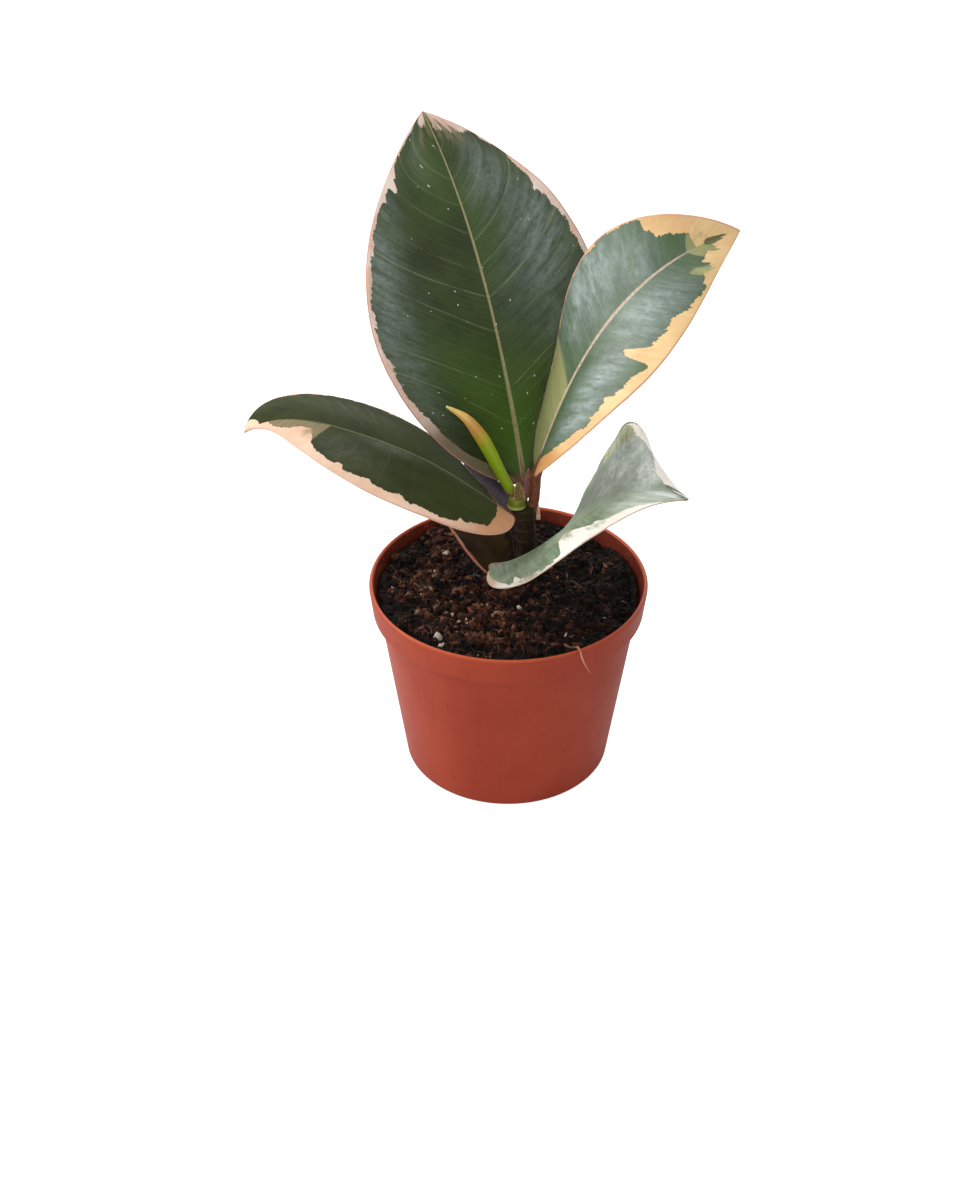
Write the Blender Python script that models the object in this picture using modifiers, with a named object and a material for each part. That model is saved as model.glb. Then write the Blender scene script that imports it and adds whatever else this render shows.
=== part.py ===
# Young variegated rubber plant in a small tapered plastic pot.
# Units are metres, +Z is up, and the origin is the centre of the pot's underside.
import bpy
import bmesh
from math import cos, pi, radians, sin
from mathutils import Matrix, Vector

MM = 0.001
CLEARANCE = 0.3 * MM          # left between pieces that touch
FLAT_ALLOWANCE = 1.3          # widens a clearance where two faceted rounds face each other
WELD = 0.01 * MM              # points nearer than this become one

# Pot: a tapered body under a taller band that steps outward
RIM_RADIUS = 30.0 * MM
POT_HEIGHT = 45.0 * MM
BASE_RADIUS = 22.6 * MM
BAND_HEIGHT = 6.6 * MM
BAND_FOOT_RADIUS = 29.3 * MM
BODY_TOP_RADIUS = 27.9 * MM
WALL = 1.0 * MM
FLOOR = 1.2 * MM
DRAIN_HOLES = 6
DRAIN_CIRCLE = 14.0 * MM
DRAIN_RADIUS = 2.0 * MM
DRAIN_DEPTH = 6.0 * MM
POT_STEPS = 60
FOOT_BEVEL = (0.5 * MM, 0.6 * MM)     # inward and upward
LIP_ROUND = 0.15 * MM

# Soil: fills the pot to a few millimetres under the rim
SOIL_LEVEL = 42.2 * MM
SOIL_STEPS = 40
SOIL_RINGS = 7
SOIL_TILT = 0.5 * MM          # higher at the back than in the middle

# Stem: stands in the soil and carries every leaf
STEM_RADIUS = 2.15 * MM
STEM_FOOT = Vector((4.0, 2.2, 35.5)) * MM
STEM_TOP = Vector((3.0, 2.0, 62.2)) * MM
STEM_BOW = 0.5 * MM
STEM_SCARS = (0.80, 0.91)     # old leaf scars, as fractions of the stem's length
SCAR_REACH = 0.03             # half the height of a scar, as a fraction too
SCAR_RISE = 0.15 * MM
STEM_SWELL = 0.3 * MM         # extra radius at the top

LEAF_THICKNESS = 0.5 * MM
LEAF_TIP_HALF_WIDTH = 0.4 * MM
LEAF_CELLS = (26, 12)         # along and across the blade
MIDRIB_END = 0.93             # the rib fades out before the tip
MIDRIB_STATIONS = 12
MIDRIB_TIP_RADIUS = 0.3 * MM
MIDRIB_SINK = 0.25 * MM       # its centre lies this far under the blade

# Each leaf grows from "base" along a midrib whose heading (from +X towards +Y) and climb
# (above the horizontal) pass through the listed values at even steps of its length.
# "left" and "right" are the half widths at the widest place; each half lifts out of the
# blade's plane and curls towards its margin. Lengths are in mm and angles in degrees.
LEAVES = {
    "leaf_back": dict(
        base=(3.2, 7.0, 64.5), length=82.7, left=27.8, right=24.8,
        heading=(116, 115, 122), climb=(71, 54, 37), roll=(4, -3, 1),
        lift_left=(16, 10, 1), lift_right=(1, 4, 3),
        curl_left=(1, -4, -8), curl_right=(-2, -3, -6),
        shape_left=(0.71, 0.91), shape_right=(0.79, 0.88),
        petiole=((3.1, 3.2, 60.4), (3.1, 5.0, 62.4)), rib=0.95),
    "leaf_right": dict(
        base=(5.6, 1.8, 70.4), length=68.8, left=16.8, right=17.4,
        heading=(14, 12, 9), climb=(74, 56, 11), roll=(-14, 14, 70),
        lift_left=(12, 2, 44), lift_right=(13, 0, 9),
        curl_left=(-3, -6, 6), curl_right=(-3, -11, -4),
        shape_left=(0.61, 0.84), shape_right=(0.58, 0.85),
        petiole=((4.2, 2.3, 60.4), (5.2, 2.4, 62.9), (5.5, 2.0, 66.8)), rib=1.15),
    "leaf_left": dict(
        base=(-1.2, 0.8, 61.7), length=63.4, left=27.1, right=16.3,
        heading=(207, 195, 179, 163, 175), climb=(46, 41, 23, 2, -35), roll=(3, 3, 7, 7, -3),
        lift_left=(10, 3, 3, 5, 0), lift_right=(10, 8, 5, 4, 5),
        curl_left=(-2, -6, -9, -12, -21), curl_right=(-1, -5, -8, -14, -19),
        shape_left=(1.02, 1.72), shape_right=(0.34, 0.21),
        petiole=((2.2, 1.9, 59.2), (0.5, 1.3, 60.0)), rib=0.9),
    "leaf_front": dict(
        base=(-3.5, -5.2, 51.6), length=47.9, left=30.0, right=16.1,
        heading=(-20, -9, -1, 5), climb=(24, 44, 27, -32), roll=(3, -10, -10),
        lift_left=(-59, -55, -17, -7, -1, 10, -3), lift_right=(11, 4, 12),
        curl_left=(3, 16, -11), curl_right=(-10, -12, -8),
        shape_left=(1.31, 0.57), shape_right=(0.48, 0.77),
        petiole=((3.5, 1.6, 47.6), (0.4, -1.8, 48.9), (-2.5, -4.4, 50.5)), rib=0.8),
    "leaf_low": dict(
        base=(-1.1, -1.3, 45.9), length=40.0, left=5.6, right=8.0,
        heading=(123, 122, 122), climb=(28, 21, 7), roll=(-1, 2, 0),
        lift_left=(10, 14, 5), lift_right=(12, 10, 6),
        curl_left=(0, -6, -6), curl_right=(0, -6, -6),
        shape_left=(0.46, 0.77), shape_right=(0.55, 0.75),
        petiole=((3.4, 1.8, 44.6), (1.2, 0.2, 44.9)), rib=0.7),
}

# Rolled new leaf: centre line and radii, base to tip, in mm
NEW_LEAF_PATH = ((0.45, 1.3, 66.3), (-0.9, 0.9, 69.2), (-2.4, 0.6, 72.6), (-4.0, 0.5, 76.3),
                 (-6.1, 0.6, 80.3), (-9.0, 0.9, 84.1), (-13.0, 1.5, 86.5))
NEW_LEAF_RADII = (1.1, 1.15, 1.25, 1.4, 1.4, 0.95, 0.25)
NEW_LEAF_STATIONS = 15

# Bud base: a short green bulb with a raised ring, under the new leaf
BUD_CENTRE = Vector((1.6, 1.3, 0.0)) * MM
BUD_PROFILE = ((0.0, 65.6), (0.7, 65.6), (1.25, 65.3), (1.7, 64.6), (1.88, 63.9), (1.8, 63.2),
               (1.98, 62.95), (1.98, 62.6), (1.75, 62.5), (0.0, 62.5))
BUD_STEPS = 20

# Small dry scales: foot, tip, half width and half thickness, in mm
SCALES = {
    "scale_brown": ((2.2, -0.35, 65.2), (1.2, -0.7, 69.2), 1.3, 0.25),
    "scale_pink": ((4.0, 4.55, 64.6), (4.1, 5.0, 69.6), 0.7, 0.3),
    "scale_cream": ((6.25, 2.6, 58.4), (6.3, 2.9, 61.9), 0.5, 0.25),
    "scale_dark": ((0.6, 5.2, 59.0), (-8.6, 11.2, 67.0), 2.6, 0.25),
}
SCALE_SIDES = 12
SCALE_TIP = 0.15              # width of the tip as a share of the foot's

# A thin root that climbs out of the soil and hangs over the rim, in mm
ROOT_PATH = ((11.4, -22.4, 43.7), (12.5, -24.2, 44.3), (13.4, -25.4, 45.2), (13.9, -26.2, 45.8),
             (14.4, -27.0, 45.4), (14.8, -27.4, 43.9), (15.5, -27.2, 42.0), (16.6, -26.7, 39.6))
ROOT_RADIUS = 0.35
ROOT_STATIONS = 20

# Colour and roughness of each stuff
STUFFS = {
    "pot": ((0.50, 0.115, 0.055), 0.45),
    "soil": ((0.035, 0.020, 0.014), 0.95),
    "stem": ((0.055, 0.050, 0.020), 0.6),
    "leaf": ((0.055, 0.095, 0.035), 0.35),
    "new_leaf": ((0.33, 0.42, 0.03), 0.35),
    "bud_base": ((0.12, 0.20, 0.012), 0.4),
    "scale_brown": ((0.35, 0.17, 0.08), 0.5),
    "scale_pink": ((0.50, 0.20, 0.15), 0.5),
    "scale_cream": ((0.75, 0.55, 0.42), 0.5),
    "scale_dark": ((0.020, 0.012, 0.016), 0.5),
    "root_strand": ((0.30, 0.13, 0.07), 0.8),
}


def clear_scene():
    for old in list(bpy.data.objects):
        bpy.data.objects.remove(old, do_unlink=True)


def new_collection(name):
    collection = bpy.data.collections.new(name)
    bpy.context.scene.collection.children.link(collection)
    return collection


def new_material(name):
    colour, roughness = STUFFS[name]
    material = bpy.data.materials.new(name)
    material.use_nodes = True
    shader = material.node_tree.nodes["Principled BSDF"]
    shader.inputs["Base Color"].default_value = (*colour, 1.0)
    shader.inputs["Roughness"].default_value = roughness
    material.diffuse_color = (*colour, 1.0)
    return material


def add_object(name, mesh, collection, material=None):
    mesh.shade_smooth()
    thing = bpy.data.objects.new(name, mesh)
    collection.objects.link(thing)
    if material:
        mesh.materials.append(material)
    return thing


def mesh_from(bm, name):
    mesh = bpy.data.meshes.new(name)
    bm.to_mesh(mesh)
    bm.free()
    return mesh


def hide_cutter(cutter):
    cutter.hide_render = True
    cutter.display_type = "WIRE"


def boolean(thing, other, operation):
    modifier = thing.modifiers.new(other.name, "BOOLEAN")
    modifier.operation = operation
    modifier.solver = "EXACT"
    modifier.object = other


def along(values, u):
    """Smooth value at u (0 to 1) through evenly spaced values."""
    if len(values) == 3:
        first, middle, last = values
        return first * (1 - u) * (1 - 2 * u) + 4 * middle * u * (1 - u) + last * u * (2 * u - 1)
    spans = len(values) - 1
    padded = [2 * values[0] - values[1], *values, 2 * values[-1] - values[-2]]
    span = min(int(u * spans), spans - 1)
    t = u * spans - span
    a, b, c, d = padded[span:span + 4]
    return 0.5 * (2 * b + (c - a) * t + (2 * a - 5 * b + 4 * c - d) * t**2
                  + (3 * b - a - 3 * c + d) * t**3)


def direction(heading, climb):
    h, c = radians(heading), radians(climb)
    return Vector((cos(c) * cos(h), cos(c) * sin(h), sin(c)))


def leaf_frame(leaf, u, steps=24):
    """Midrib point, leftward axis and upper-side normal at u along the blade."""
    point = Vector(leaf["base"]) * MM
    step = u / steps
    for i in range(steps):
        middle = (i + 0.5) * step
        point += direction(along(leaf["heading"], middle), along(leaf["climb"], middle)) \
            * leaf["length"] * MM * step
    heading = radians(along(leaf["heading"], u))
    left = Vector((-sin(heading), cos(heading), 0.0))
    up = direction(along(leaf["heading"], u), along(leaf["climb"], u)).cross(left)
    roll = radians(along(leaf["roll"], u))
    return point, left * cos(roll) + up * sin(roll), up * cos(roll) - left * sin(roll)


def half_width(leaf, side, u):
    rise, fall = leaf["shape_" + side]
    peak = rise / (rise + fall)
    shape = (u / peak) ** rise * ((1 - u) / (1 - peak)) ** fall
    return max(leaf[side] * MM * shape, LEAF_TIP_HALF_WIDTH)


def blade_point(leaf, u, v):
    """Point of the blade's middle surface; v runs from -1 (right margin) to 1 (left)."""
    side = "left" if v > 0 else "right"
    point, across, normal = leaf_frame(leaf, u)
    curl = radians(along(leaf["curl_" + side], u)) * abs(v) / 2
    angle = radians(along(leaf["lift_" + side], u)) + curl
    chord = half_width(leaf, side, u) * abs(v) * (sin(curl) / curl if abs(curl) > 1e-6 else 1.0)
    return point + across * chord * cos(angle) * (1 if v > 0 else -1) + normal * chord * sin(angle)


def tube(name, points, radii, collection, material=None, resolution=2):
    """Closed tube through points in metres, welded into one mesh."""
    data = bpy.data.curves.new(name, "CURVE")
    data.dimensions = "3D"
    data.bevel_depth = 1.0
    data.bevel_resolution = resolution
    data.use_fill_caps = True
    spline = data.splines.new("POLY")
    spline.points.add(len(points) - 1)
    for place, point, radius in zip(spline.points, points, radii):
        place.co = (*point, 1.0)
        place.radius = radius
    curve = bpy.data.objects.new(name + "_curve", data)
    collection.objects.link(curve)
    evaluated = curve.evaluated_get(bpy.context.evaluated_depsgraph_get())
    mesh = bpy.data.meshes.new_from_object(evaluated)
    mesh.name = name
    bm = bmesh.new()
    bm.from_mesh(mesh)
    bmesh.ops.remove_doubles(bm, verts=bm.verts, dist=WELD)
    bmesh.ops.recalc_face_normals(bm, faces=bm.faces)
    bm.to_mesh(mesh)
    bm.free()
    bpy.data.objects.remove(curve, do_unlink=True)
    return add_object(name, mesh, collection, material)


def smooth_path(points, count):
    """Evenly parameterised points of a smooth path through the given ones."""
    columns = list(zip(*points))
    return [[along(column, i / (count - 1)) for column in columns] for i in range(count)]


def turned(name, profile, steps, centre, collection, material=None):
    """Solid of revolution about the vertical line through centre; profile is (radius, z)."""
    bm = bmesh.new()
    corners = [bm.verts.new((radius, 0.0, z)) for radius, z in profile]
    edges = [bm.edges.new(pair) for pair in zip(corners, corners[1:])]
    bmesh.ops.spin(bm, geom=corners + edges, axis=(0, 0, 1), cent=(0, 0, 0), angle=2 * pi,
                   steps=steps, use_merge=True)
    bmesh.ops.remove_doubles(bm, verts=bm.verts, dist=WELD)
    bmesh.ops.recalc_face_normals(bm, faces=bm.faces)
    bmesh.ops.translate(bm, verts=bm.verts, vec=(centre[0], centre[1], 0.0))
    return add_object(name, mesh_from(bm, name), collection, material)


def make_pot(parts, cutters):
    band_foot = POT_HEIGHT - BAND_HEIGHT
    lip = WALL / 2
    profile = [
        (0.0, FLOOR), (BASE_RADIUS - WALL, FLOOR),
        (BODY_TOP_RADIUS - WALL, band_foot - lip), (BAND_FOOT_RADIUS - WALL, band_foot + WALL),
        (RIM_RADIUS - WALL, POT_HEIGHT - lip),
        (RIM_RADIUS - WALL + LIP_ROUND, POT_HEIGHT - LIP_ROUND),
        (RIM_RADIUS - lip, POT_HEIGHT), (RIM_RADIUS - LIP_ROUND, POT_HEIGHT - LIP_ROUND),
        (RIM_RADIUS, POT_HEIGHT - lip), (BAND_FOOT_RADIUS, band_foot),
        (BODY_TOP_RADIUS, band_foot), (BASE_RADIUS, FOOT_BEVEL[1]),
        (BASE_RADIUS - FOOT_BEVEL[0], 0.0), (0.0, 0.0)]
    pot = turned("pot", profile, POT_STEPS, (0, 0), parts, new_material("pot"))
    for i in range(DRAIN_HOLES):
        angle = 2 * pi * i / DRAIN_HOLES
        bm = bmesh.new()
        bmesh.ops.create_cone(bm, cap_ends=True, segments=16, radius1=DRAIN_RADIUS,
                              radius2=DRAIN_RADIUS, depth=DRAIN_DEPTH)
        bmesh.ops.translate(bm, verts=bm.verts,
                            vec=(DRAIN_CIRCLE * cos(angle), DRAIN_CIRCLE * sin(angle), 0.0))
        drain = add_object(f"drain_{i}", mesh_from(bm, f"drain_{i}"), cutters)
        hide_cutter(drain)
        boolean(pot, drain, "DIFFERENCE")


def soil_height(x, y):
    """Gentle lumps that flatten towards the pot's wall."""
    a, b = x / RIM_RADIUS, y / RIM_RADIUS
    lumps = 0.55 * sin(5.1 * a + 1.7 * b + 0.6) + 0.4 * cos(6.3 * b - 2.2 * a) \
        + 0.25 * sin(11.0 * a - 8.0 * b + 1.1)
    return SOIL_LEVEL + lumps * MM + SOIL_TILT * b


def make_soil(parts, cutters):
    """Soil filling the pot, with a socket for the stem."""
    band_foot = POT_HEIGHT - BAND_HEIGHT
    gap = FLAT_ALLOWANCE * CLEARANCE
    edge = BAND_FOOT_RADIUS - WALL - gap
    profile = [(0.0, SOIL_LEVEL)]
    profile += [(edge * (i + 1) / SOIL_RINGS, SOIL_LEVEL) for i in range(SOIL_RINGS)]
    profile += [(edge, band_foot + 1.5 * WALL),
                (BODY_TOP_RADIUS - WALL - gap, band_foot - WALL / 2),
                (BASE_RADIUS - WALL - CLEARANCE, FLOOR + CLEARANCE), (0.0, FLOOR + CLEARANCE)]
    soil = turned("soil", profile, SOIL_STEPS, (0, 0), parts, new_material("soil"))
    for vertex in soil.data.vertices:
        if vertex.co.z > SOIL_LEVEL - WELD:
            vertex.co.z = soil_height(vertex.co.x, vertex.co.y)
    points, radii = stem_path()
    points[0] -= Vector((0.0, 0.0, CLEARANCE))
    socket = tube("stem_socket", points, [r + gap for r in radii], cutters, resolution=4)
    hide_cutter(socket)
    boolean(soil, socket, "DIFFERENCE")


def stem_path():
    """Centre line and radii of the stem, with its scars and its swollen top."""
    stations = [0.0, 0.2, 0.4, 0.6, 0.75]
    radii = [STEM_RADIUS] * len(stations)
    for scar in STEM_SCARS:
        stations += [scar - SCAR_REACH, scar, scar + SCAR_REACH]
        radii += [STEM_RADIUS, STEM_RADIUS + SCAR_RISE, STEM_RADIUS + SCAR_RISE / 3]
    stations.append(1.0)
    radii.append(STEM_RADIUS + STEM_SWELL)
    bow = Vector((STEM_BOW, 0.0, 0.0))
    return [STEM_FOOT.lerp(STEM_TOP, t) + bow * sin(pi * t) for t in stations], radii


def make_stem(parts, cutters):
    """The stem, and the slightly larger body that trims what grows out of it."""
    points, radii = stem_path()
    tube("stem", points, radii, parts, new_material("stem"), resolution=4)
    trim_end = points[-1] + Vector((0.0, 0.0, CLEARANCE))
    trim = tube("stem_trim", points[:-1] + [trim_end], [r + CLEARANCE for r in radii],
                cutters, resolution=4)
    hide_cutter(trim)
    return trim


def make_leaf(name, leaf, green, trim, parts, cutters):
    """Blade, raised midrib and petiole in one piece."""
    bm = bmesh.new()
    bmesh.ops.create_grid(bm, x_segments=LEAF_CELLS[0], y_segments=LEAF_CELLS[1], size=1.0)
    for vertex in bm.verts:
        u, v = (vertex.co.x + 1) / 2, vertex.co.y
        vertex.co = blade_point(leaf, u, v)
    bmesh.ops.recalc_face_normals(bm, faces=bm.faces)
    blade = add_object(name, mesh_from(bm, name), parts, green)
    solidify = blade.modifiers.new("thickness", "SOLIDIFY")
    solidify.thickness = LEAF_THICKNESS
    solidify.offset = 0.0
    rib = leaf["rib"] * MM
    points = [Vector(p) * MM for p in leaf["petiole"]]
    radii = [rib] * len(points)
    for i in range(MIDRIB_STATIONS):
        reach = i / (MIDRIB_STATIONS - 1)
        point, _, normal = leaf_frame(leaf, MIDRIB_END * reach)
        points.append(point - normal * MIDRIB_SINK)
        radii.append(rib + (MIDRIB_TIP_RADIUS - rib) * reach ** 0.6)
    midrib = tube(name + "_rib", points, radii, cutters)
    hide_cutter(midrib)
    boolean(blade, midrib, "UNION")
    boolean(blade, trim, "DIFFERENCE")


def make_scale(name, foot, tip, half_wide, half_thick, parts):
    """Flattened cone from foot to tip, broad from left to right."""
    start, end = Vector(foot) * MM, Vector(tip) * MM
    axis = end - start
    bm = bmesh.new()
    bmesh.ops.create_cone(bm, cap_ends=True, segments=SCALE_SIDES, radius1=1.0,
                          radius2=SCALE_TIP, depth=axis.length)
    bmesh.ops.scale(bm, verts=bm.verts, vec=(half_wide * MM, half_thick * MM, 1.0))
    across = axis.cross(Vector((0.0, 1.0, 0.0))).normalized()
    turn = Matrix((across, axis.normalized().cross(across), axis.normalized())).transposed().to_4x4()
    bmesh.ops.transform(bm, verts=bm.verts, matrix=Matrix.Translation((start + end) / 2) @ turn)
    add_object(name, mesh_from(bm, name), parts, new_material(name))


def main():
    clear_scene()
    parts = new_collection("potted_rubber_plant")
    cutters = new_collection("cutters")
    make_pot(parts, cutters)
    make_soil(parts, cutters)
    trim = make_stem(parts, cutters)
    green = new_material("leaf")
    for name, leaf in LEAVES.items():
        make_leaf(name, leaf, green, trim, parts, cutters)
    path = [Vector(p) * MM for p in smooth_path(NEW_LEAF_PATH, NEW_LEAF_STATIONS)]
    widths = [r * MM for (r,) in smooth_path([(r,) for r in NEW_LEAF_RADII], NEW_LEAF_STATIONS)]
    tube("new_leaf", path, widths, parts, new_material("new_leaf"), resolution=3)
    turned("bud_base", [(r * MM, z * MM) for r, z in BUD_PROFILE], BUD_STEPS, BUD_CENTRE, parts,
           new_material("bud_base"))
    for name, (foot, tip, half_wide, half_thick) in SCALES.items():
        make_scale(name, foot, tip, half_wide, half_thick, parts)
    path = [Vector(p) * MM for p in smooth_path(ROOT_PATH, ROOT_STATIONS)]
    tube("root_strand", path, [ROOT_RADIUS * MM] * len(path), parts,
         new_material("root_strand"), resolution=1)


main()
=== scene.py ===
import bpy
import bmesh
import numpy as np
from math import cos, pi, radians, sin
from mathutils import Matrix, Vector


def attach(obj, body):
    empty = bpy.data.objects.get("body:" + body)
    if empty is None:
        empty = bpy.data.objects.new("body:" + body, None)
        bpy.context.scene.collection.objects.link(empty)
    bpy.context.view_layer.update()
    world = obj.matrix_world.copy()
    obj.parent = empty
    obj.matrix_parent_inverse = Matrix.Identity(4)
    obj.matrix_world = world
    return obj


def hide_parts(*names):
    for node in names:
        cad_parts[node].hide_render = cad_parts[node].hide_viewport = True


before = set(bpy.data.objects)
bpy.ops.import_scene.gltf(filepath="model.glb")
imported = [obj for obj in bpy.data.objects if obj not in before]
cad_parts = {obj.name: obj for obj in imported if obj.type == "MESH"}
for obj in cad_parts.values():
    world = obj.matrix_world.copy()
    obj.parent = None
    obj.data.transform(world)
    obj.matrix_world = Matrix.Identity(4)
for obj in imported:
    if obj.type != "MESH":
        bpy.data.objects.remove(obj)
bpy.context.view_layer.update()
scene = bpy.context.scene
mm = 0.001


class wire:
    # an output socket of a node; wires are added, subtracted and multiplied like numbers
    def __init__(self, socket):
        self.socket, self.tree = socket, socket.id_data

    def __mul__(self, other):
        if isinstance(other, tuple):   # stretches a place along its three axes
            return add(self.tree, "VectorMath", {0: self, 1: other}, operation="MULTIPLY")
        return maths("MULTIPLY", self, other)

    def __add__(self, other):
        return maths("ADD", self, other)

    def __sub__(self, other):
        return maths("SUBTRACT", self, other)

    def __rsub__(self, other):
        return maths("SUBTRACT", other, self)


def colour(text):
    # a written sRGB colour as linear values
    parts = np.array([int(text[i:i + 2], 16) / 255 for i in (1, 3, 5)])
    linear = np.where(parts <= 0.04045, parts / 12.92, ((parts + 0.055) / 1.055) ** 2.4)
    return (*[float(c) for c in linear], 1.0)


def plug(value, socket):
    # a wire is linked; a number, a tuple or a colour written as #rrggbb is set on the socket
    if isinstance(value, wire):
        socket.id_data.links.new(value.socket, socket)
    else:
        socket.default_value = colour(value) if isinstance(value, str) else value


def add(tree, kind, inputs, result=0, **settings):
    # a new node; inputs and results go by name or number, and several results come back as a list
    node = tree.nodes.new("ShaderNode" + kind)
    for key, value in settings.items():
        setattr(node, key, value)
    for key, value in inputs.items():
        plug(value, node.inputs[key])
    if isinstance(result, tuple):
        return [wire(node.outputs[key]) for key in result]
    return wire(node.outputs[result])


def maths(operation, *values, clamp=False):
    tree = next(value.tree for value in values if isinstance(value, wire))
    return add(tree, "Math", dict(enumerate(values)), operation=operation, use_clamp=clamp)


def stepUp(value, low, high):
    # 0 below low, 1 above high, and a smooth rise between
    inputs = {"Value": value, "From Min": low, "From Max": high}
    return add(value.tree, "MapRange", inputs, "Result", interpolation_type="SMOOTHSTEP")


def over(base, share, tone):
    # the base where share is 0 and the tone where it is 1
    return add(share.tree, "Mix", {"Factor": share, 6: base, 7: tone}, 2, data_type="RGBA")


def layered(base, *layers):
    # the base under one (share, tone) after another
    for share, tone in layers:
        base = over(base, share, tone)
    return base


def noise(where, scale, detail=3.0, rough=0.55):
    return add(where.tree, "TexNoise", dict(Vector=where, Scale=scale, Detail=detail, Roughness=rough), "Fac")


def chanceAt(value):
    # a random number from 0 to 1 for each value
    return add(value.tree, "TexWhiteNoise", dict(W=value), "Value", noise_dimensions="1D")


def axes(where):
    return add(where.tree, "SeparateXYZ", dict(Vector=where), (0, 1, 2))


def attribute(tree, name):
    return add(tree, "Attribute", {}, "Fac", attribute_name=name)


def onObject(tree):
    return add(tree, "TexCoord", {}, "Object")


def startMaterial(name):
    material = bpy.data.materials.new(name)
    material.use_nodes = True
    return material, material.node_tree


def finishMaterial(material, base, rough, height, strength, depth, shine=0.5, coat=0.0):
    # strength is the bump's, and depth its height in metres
    bump = add(material.node_tree, "Bump", dict(Height=height, Strength=strength, Distance=depth), "Normal")
    inputs = {"Base Color": base, "Roughness": rough, "Normal": bump}
    for key, value in {**inputs, "Specular IOR Level": shine, "Coat Weight": coat}.items():
        plug(value, material.node_tree.nodes["Principled BSDF"].inputs[key])
    return material


def startGroup(name, inputs, outputs):
    # Pattern and Where carry places, and every other socket a number
    group = bpy.data.node_groups.new(name, "ShaderNodeTree")
    for way, labels in (("INPUT", inputs), ("OUTPUT", outputs)):
        for label in labels:
            kind = "NodeSocketVector" if label in ("Pattern", "Where") else "NodeSocketFloat"
            group.interface.new_socket(name=label, in_out=way, socket_type=kind)
    taken = group.nodes.new("NodeGroupInput").outputs
    return group, [wire(taken[label]) for label in inputs], group.nodes.new("NodeGroupOutput").inputs


def useGroup(tree, group, result, **values):
    return add(tree, "Group", values, result, node_tree=group)


def makeRaggedEdge():
    # Mask is 1 where Edge, in mm, plus Amount times (a random step per strip of Pattern's first axis,
    # plus teeth and crumbs from noise drawn out along the strips) is above 0
    group, (edge, pattern, amount, soft), given = startGroup(
        "raggedEdge", ("Edge", "Pattern", "Amount", "Softness"), ("Mask", "Fringe"))
    first, second, _ = axes(pattern)
    half = maths("GREATER_THAN", second, 1.5) * 57.0   # the two halves of a blade get strips of their own
    warp = noise(pattern * (5.0, 1.5, 1.0), 1.0, 1.0)
    step = chanceAt(maths("FLOOR", first * 3.3 + warp * 1.2) + half)
    teeth = noise(pattern * (14.0, 1.0, 1.0), 1.0, 2.0, 0.5)
    crumbs = noise(pattern * (42.0, 12.0, 1.0), 1.0, 3.0, 0.6)
    edge = (step * 0.8 + (teeth * 1.1 + crumbs * 0.7) - 1.3) * amount + edge
    plug(stepUp(edge, soft * -1.0, soft), given["Mask"])
    near = maths("DIVIDE", maths("ABSOLUTE", edge + soft), soft * 4.0)
    plug(maths("SUBTRACT", 1.0, near, clamp=True), given["Fringe"])
    return group


def makeSideVeins():
    # Line is a thin peak wherever Pattern's first axis, bent a little, passes a whole step;
    # each line has its own strength
    group, (pattern, steps, thin), given = startGroup("sideVeins", ("Pattern", "Steps", "Thin"), ("Line",))
    warp = noise(pattern * (1.1, 0.16, 1.0), 1.0, 1.0)
    place = axes(pattern)[0] * steps + warp * 1.1
    line = 1.0 - stepUp(maths("ABSOLUTE", maths("FRACT", place) - 0.5), 0.0, thin)
    gaps = noise(pattern * (3.0, 2.0, 1.0), 1.0, 2.0)
    strength = (chanceAt(maths("FLOOR", place)) * 0.85 + 0.15) * stepUp(gaps, 0.25, 0.6)
    plug(line * strength, given["Line"])
    return group


def makeFineGrain():
    # Height and Tone are noise at two sizes on Object coordinates; Scale is lumps per metre
    group, (scale,), given = startGroup("fineGrain", ("Scale",), ("Height", "Tone"))
    where = onObject(group)
    plug(noise(where, scale, 4.0, 0.6), given["Height"])
    plug(noise(where, scale * 0.12, 3.0, 0.5), given["Tone"])
    return group


def makeSpecks():
    # Mask is a small round dot in a share of the cells of a random pattern laid on Where
    group, (where, scale, size, share), given = startGroup(
        "specks", ("Where", "Scale", "Size", "Share"), ("Mask",))
    cell, away = add(group, "TexVoronoi", dict(Vector=where, Scale=scale), ("Color", "Distance"))
    chance, width = add(group, "SeparateColor", dict(Color=cell), (0, 1))
    dot = maths("LESS_THAN", away, size * (width * 0.8 + 0.4))
    plug(dot * maths("LESS_THAN", chance, share), given["Mask"])
    return group


raggedEdge, sideVeins, fineGrain, specks = makeRaggedEdge(), makeSideVeins(), makeFineGrain(), makeSpecks()


def grainAt(tree, scale):
    return useGroup(tree, fineGrain, ("Height", "Tone"), Scale=scale)


# shapes are worked out in mm, and only the written mesh is in metres
def lattice(x, y, seed):
    # random heights on whole numbers, blended smoothly between them
    table = np.random.default_rng(seed).random((64, 64)) * 2 - 1
    xi, yi = np.floor(x).astype(int), np.floor(y).astype(int)
    fx, fy = x - xi, y - yi
    fx, fy = fx * fx * (3 - 2 * fx), fy * fy * (3 - 2 * fy)
    low = table[xi % 64, yi % 64] * (1 - fx) + table[(xi + 1) % 64, yi % 64] * fx
    high = table[xi % 64, (yi + 1) % 64] * (1 - fx) + table[(xi + 1) % 64, (yi + 1) % 64] * fx
    return low * (1 - fy) + high * fy


def rugged(x, y, seed, octaves):
    # lattice added at doubled frequency and halved height each time
    return sum(lattice(x * 2 ** k, y * 2 ** k, seed + k) / 2 ** k for k in range(octaves))


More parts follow.
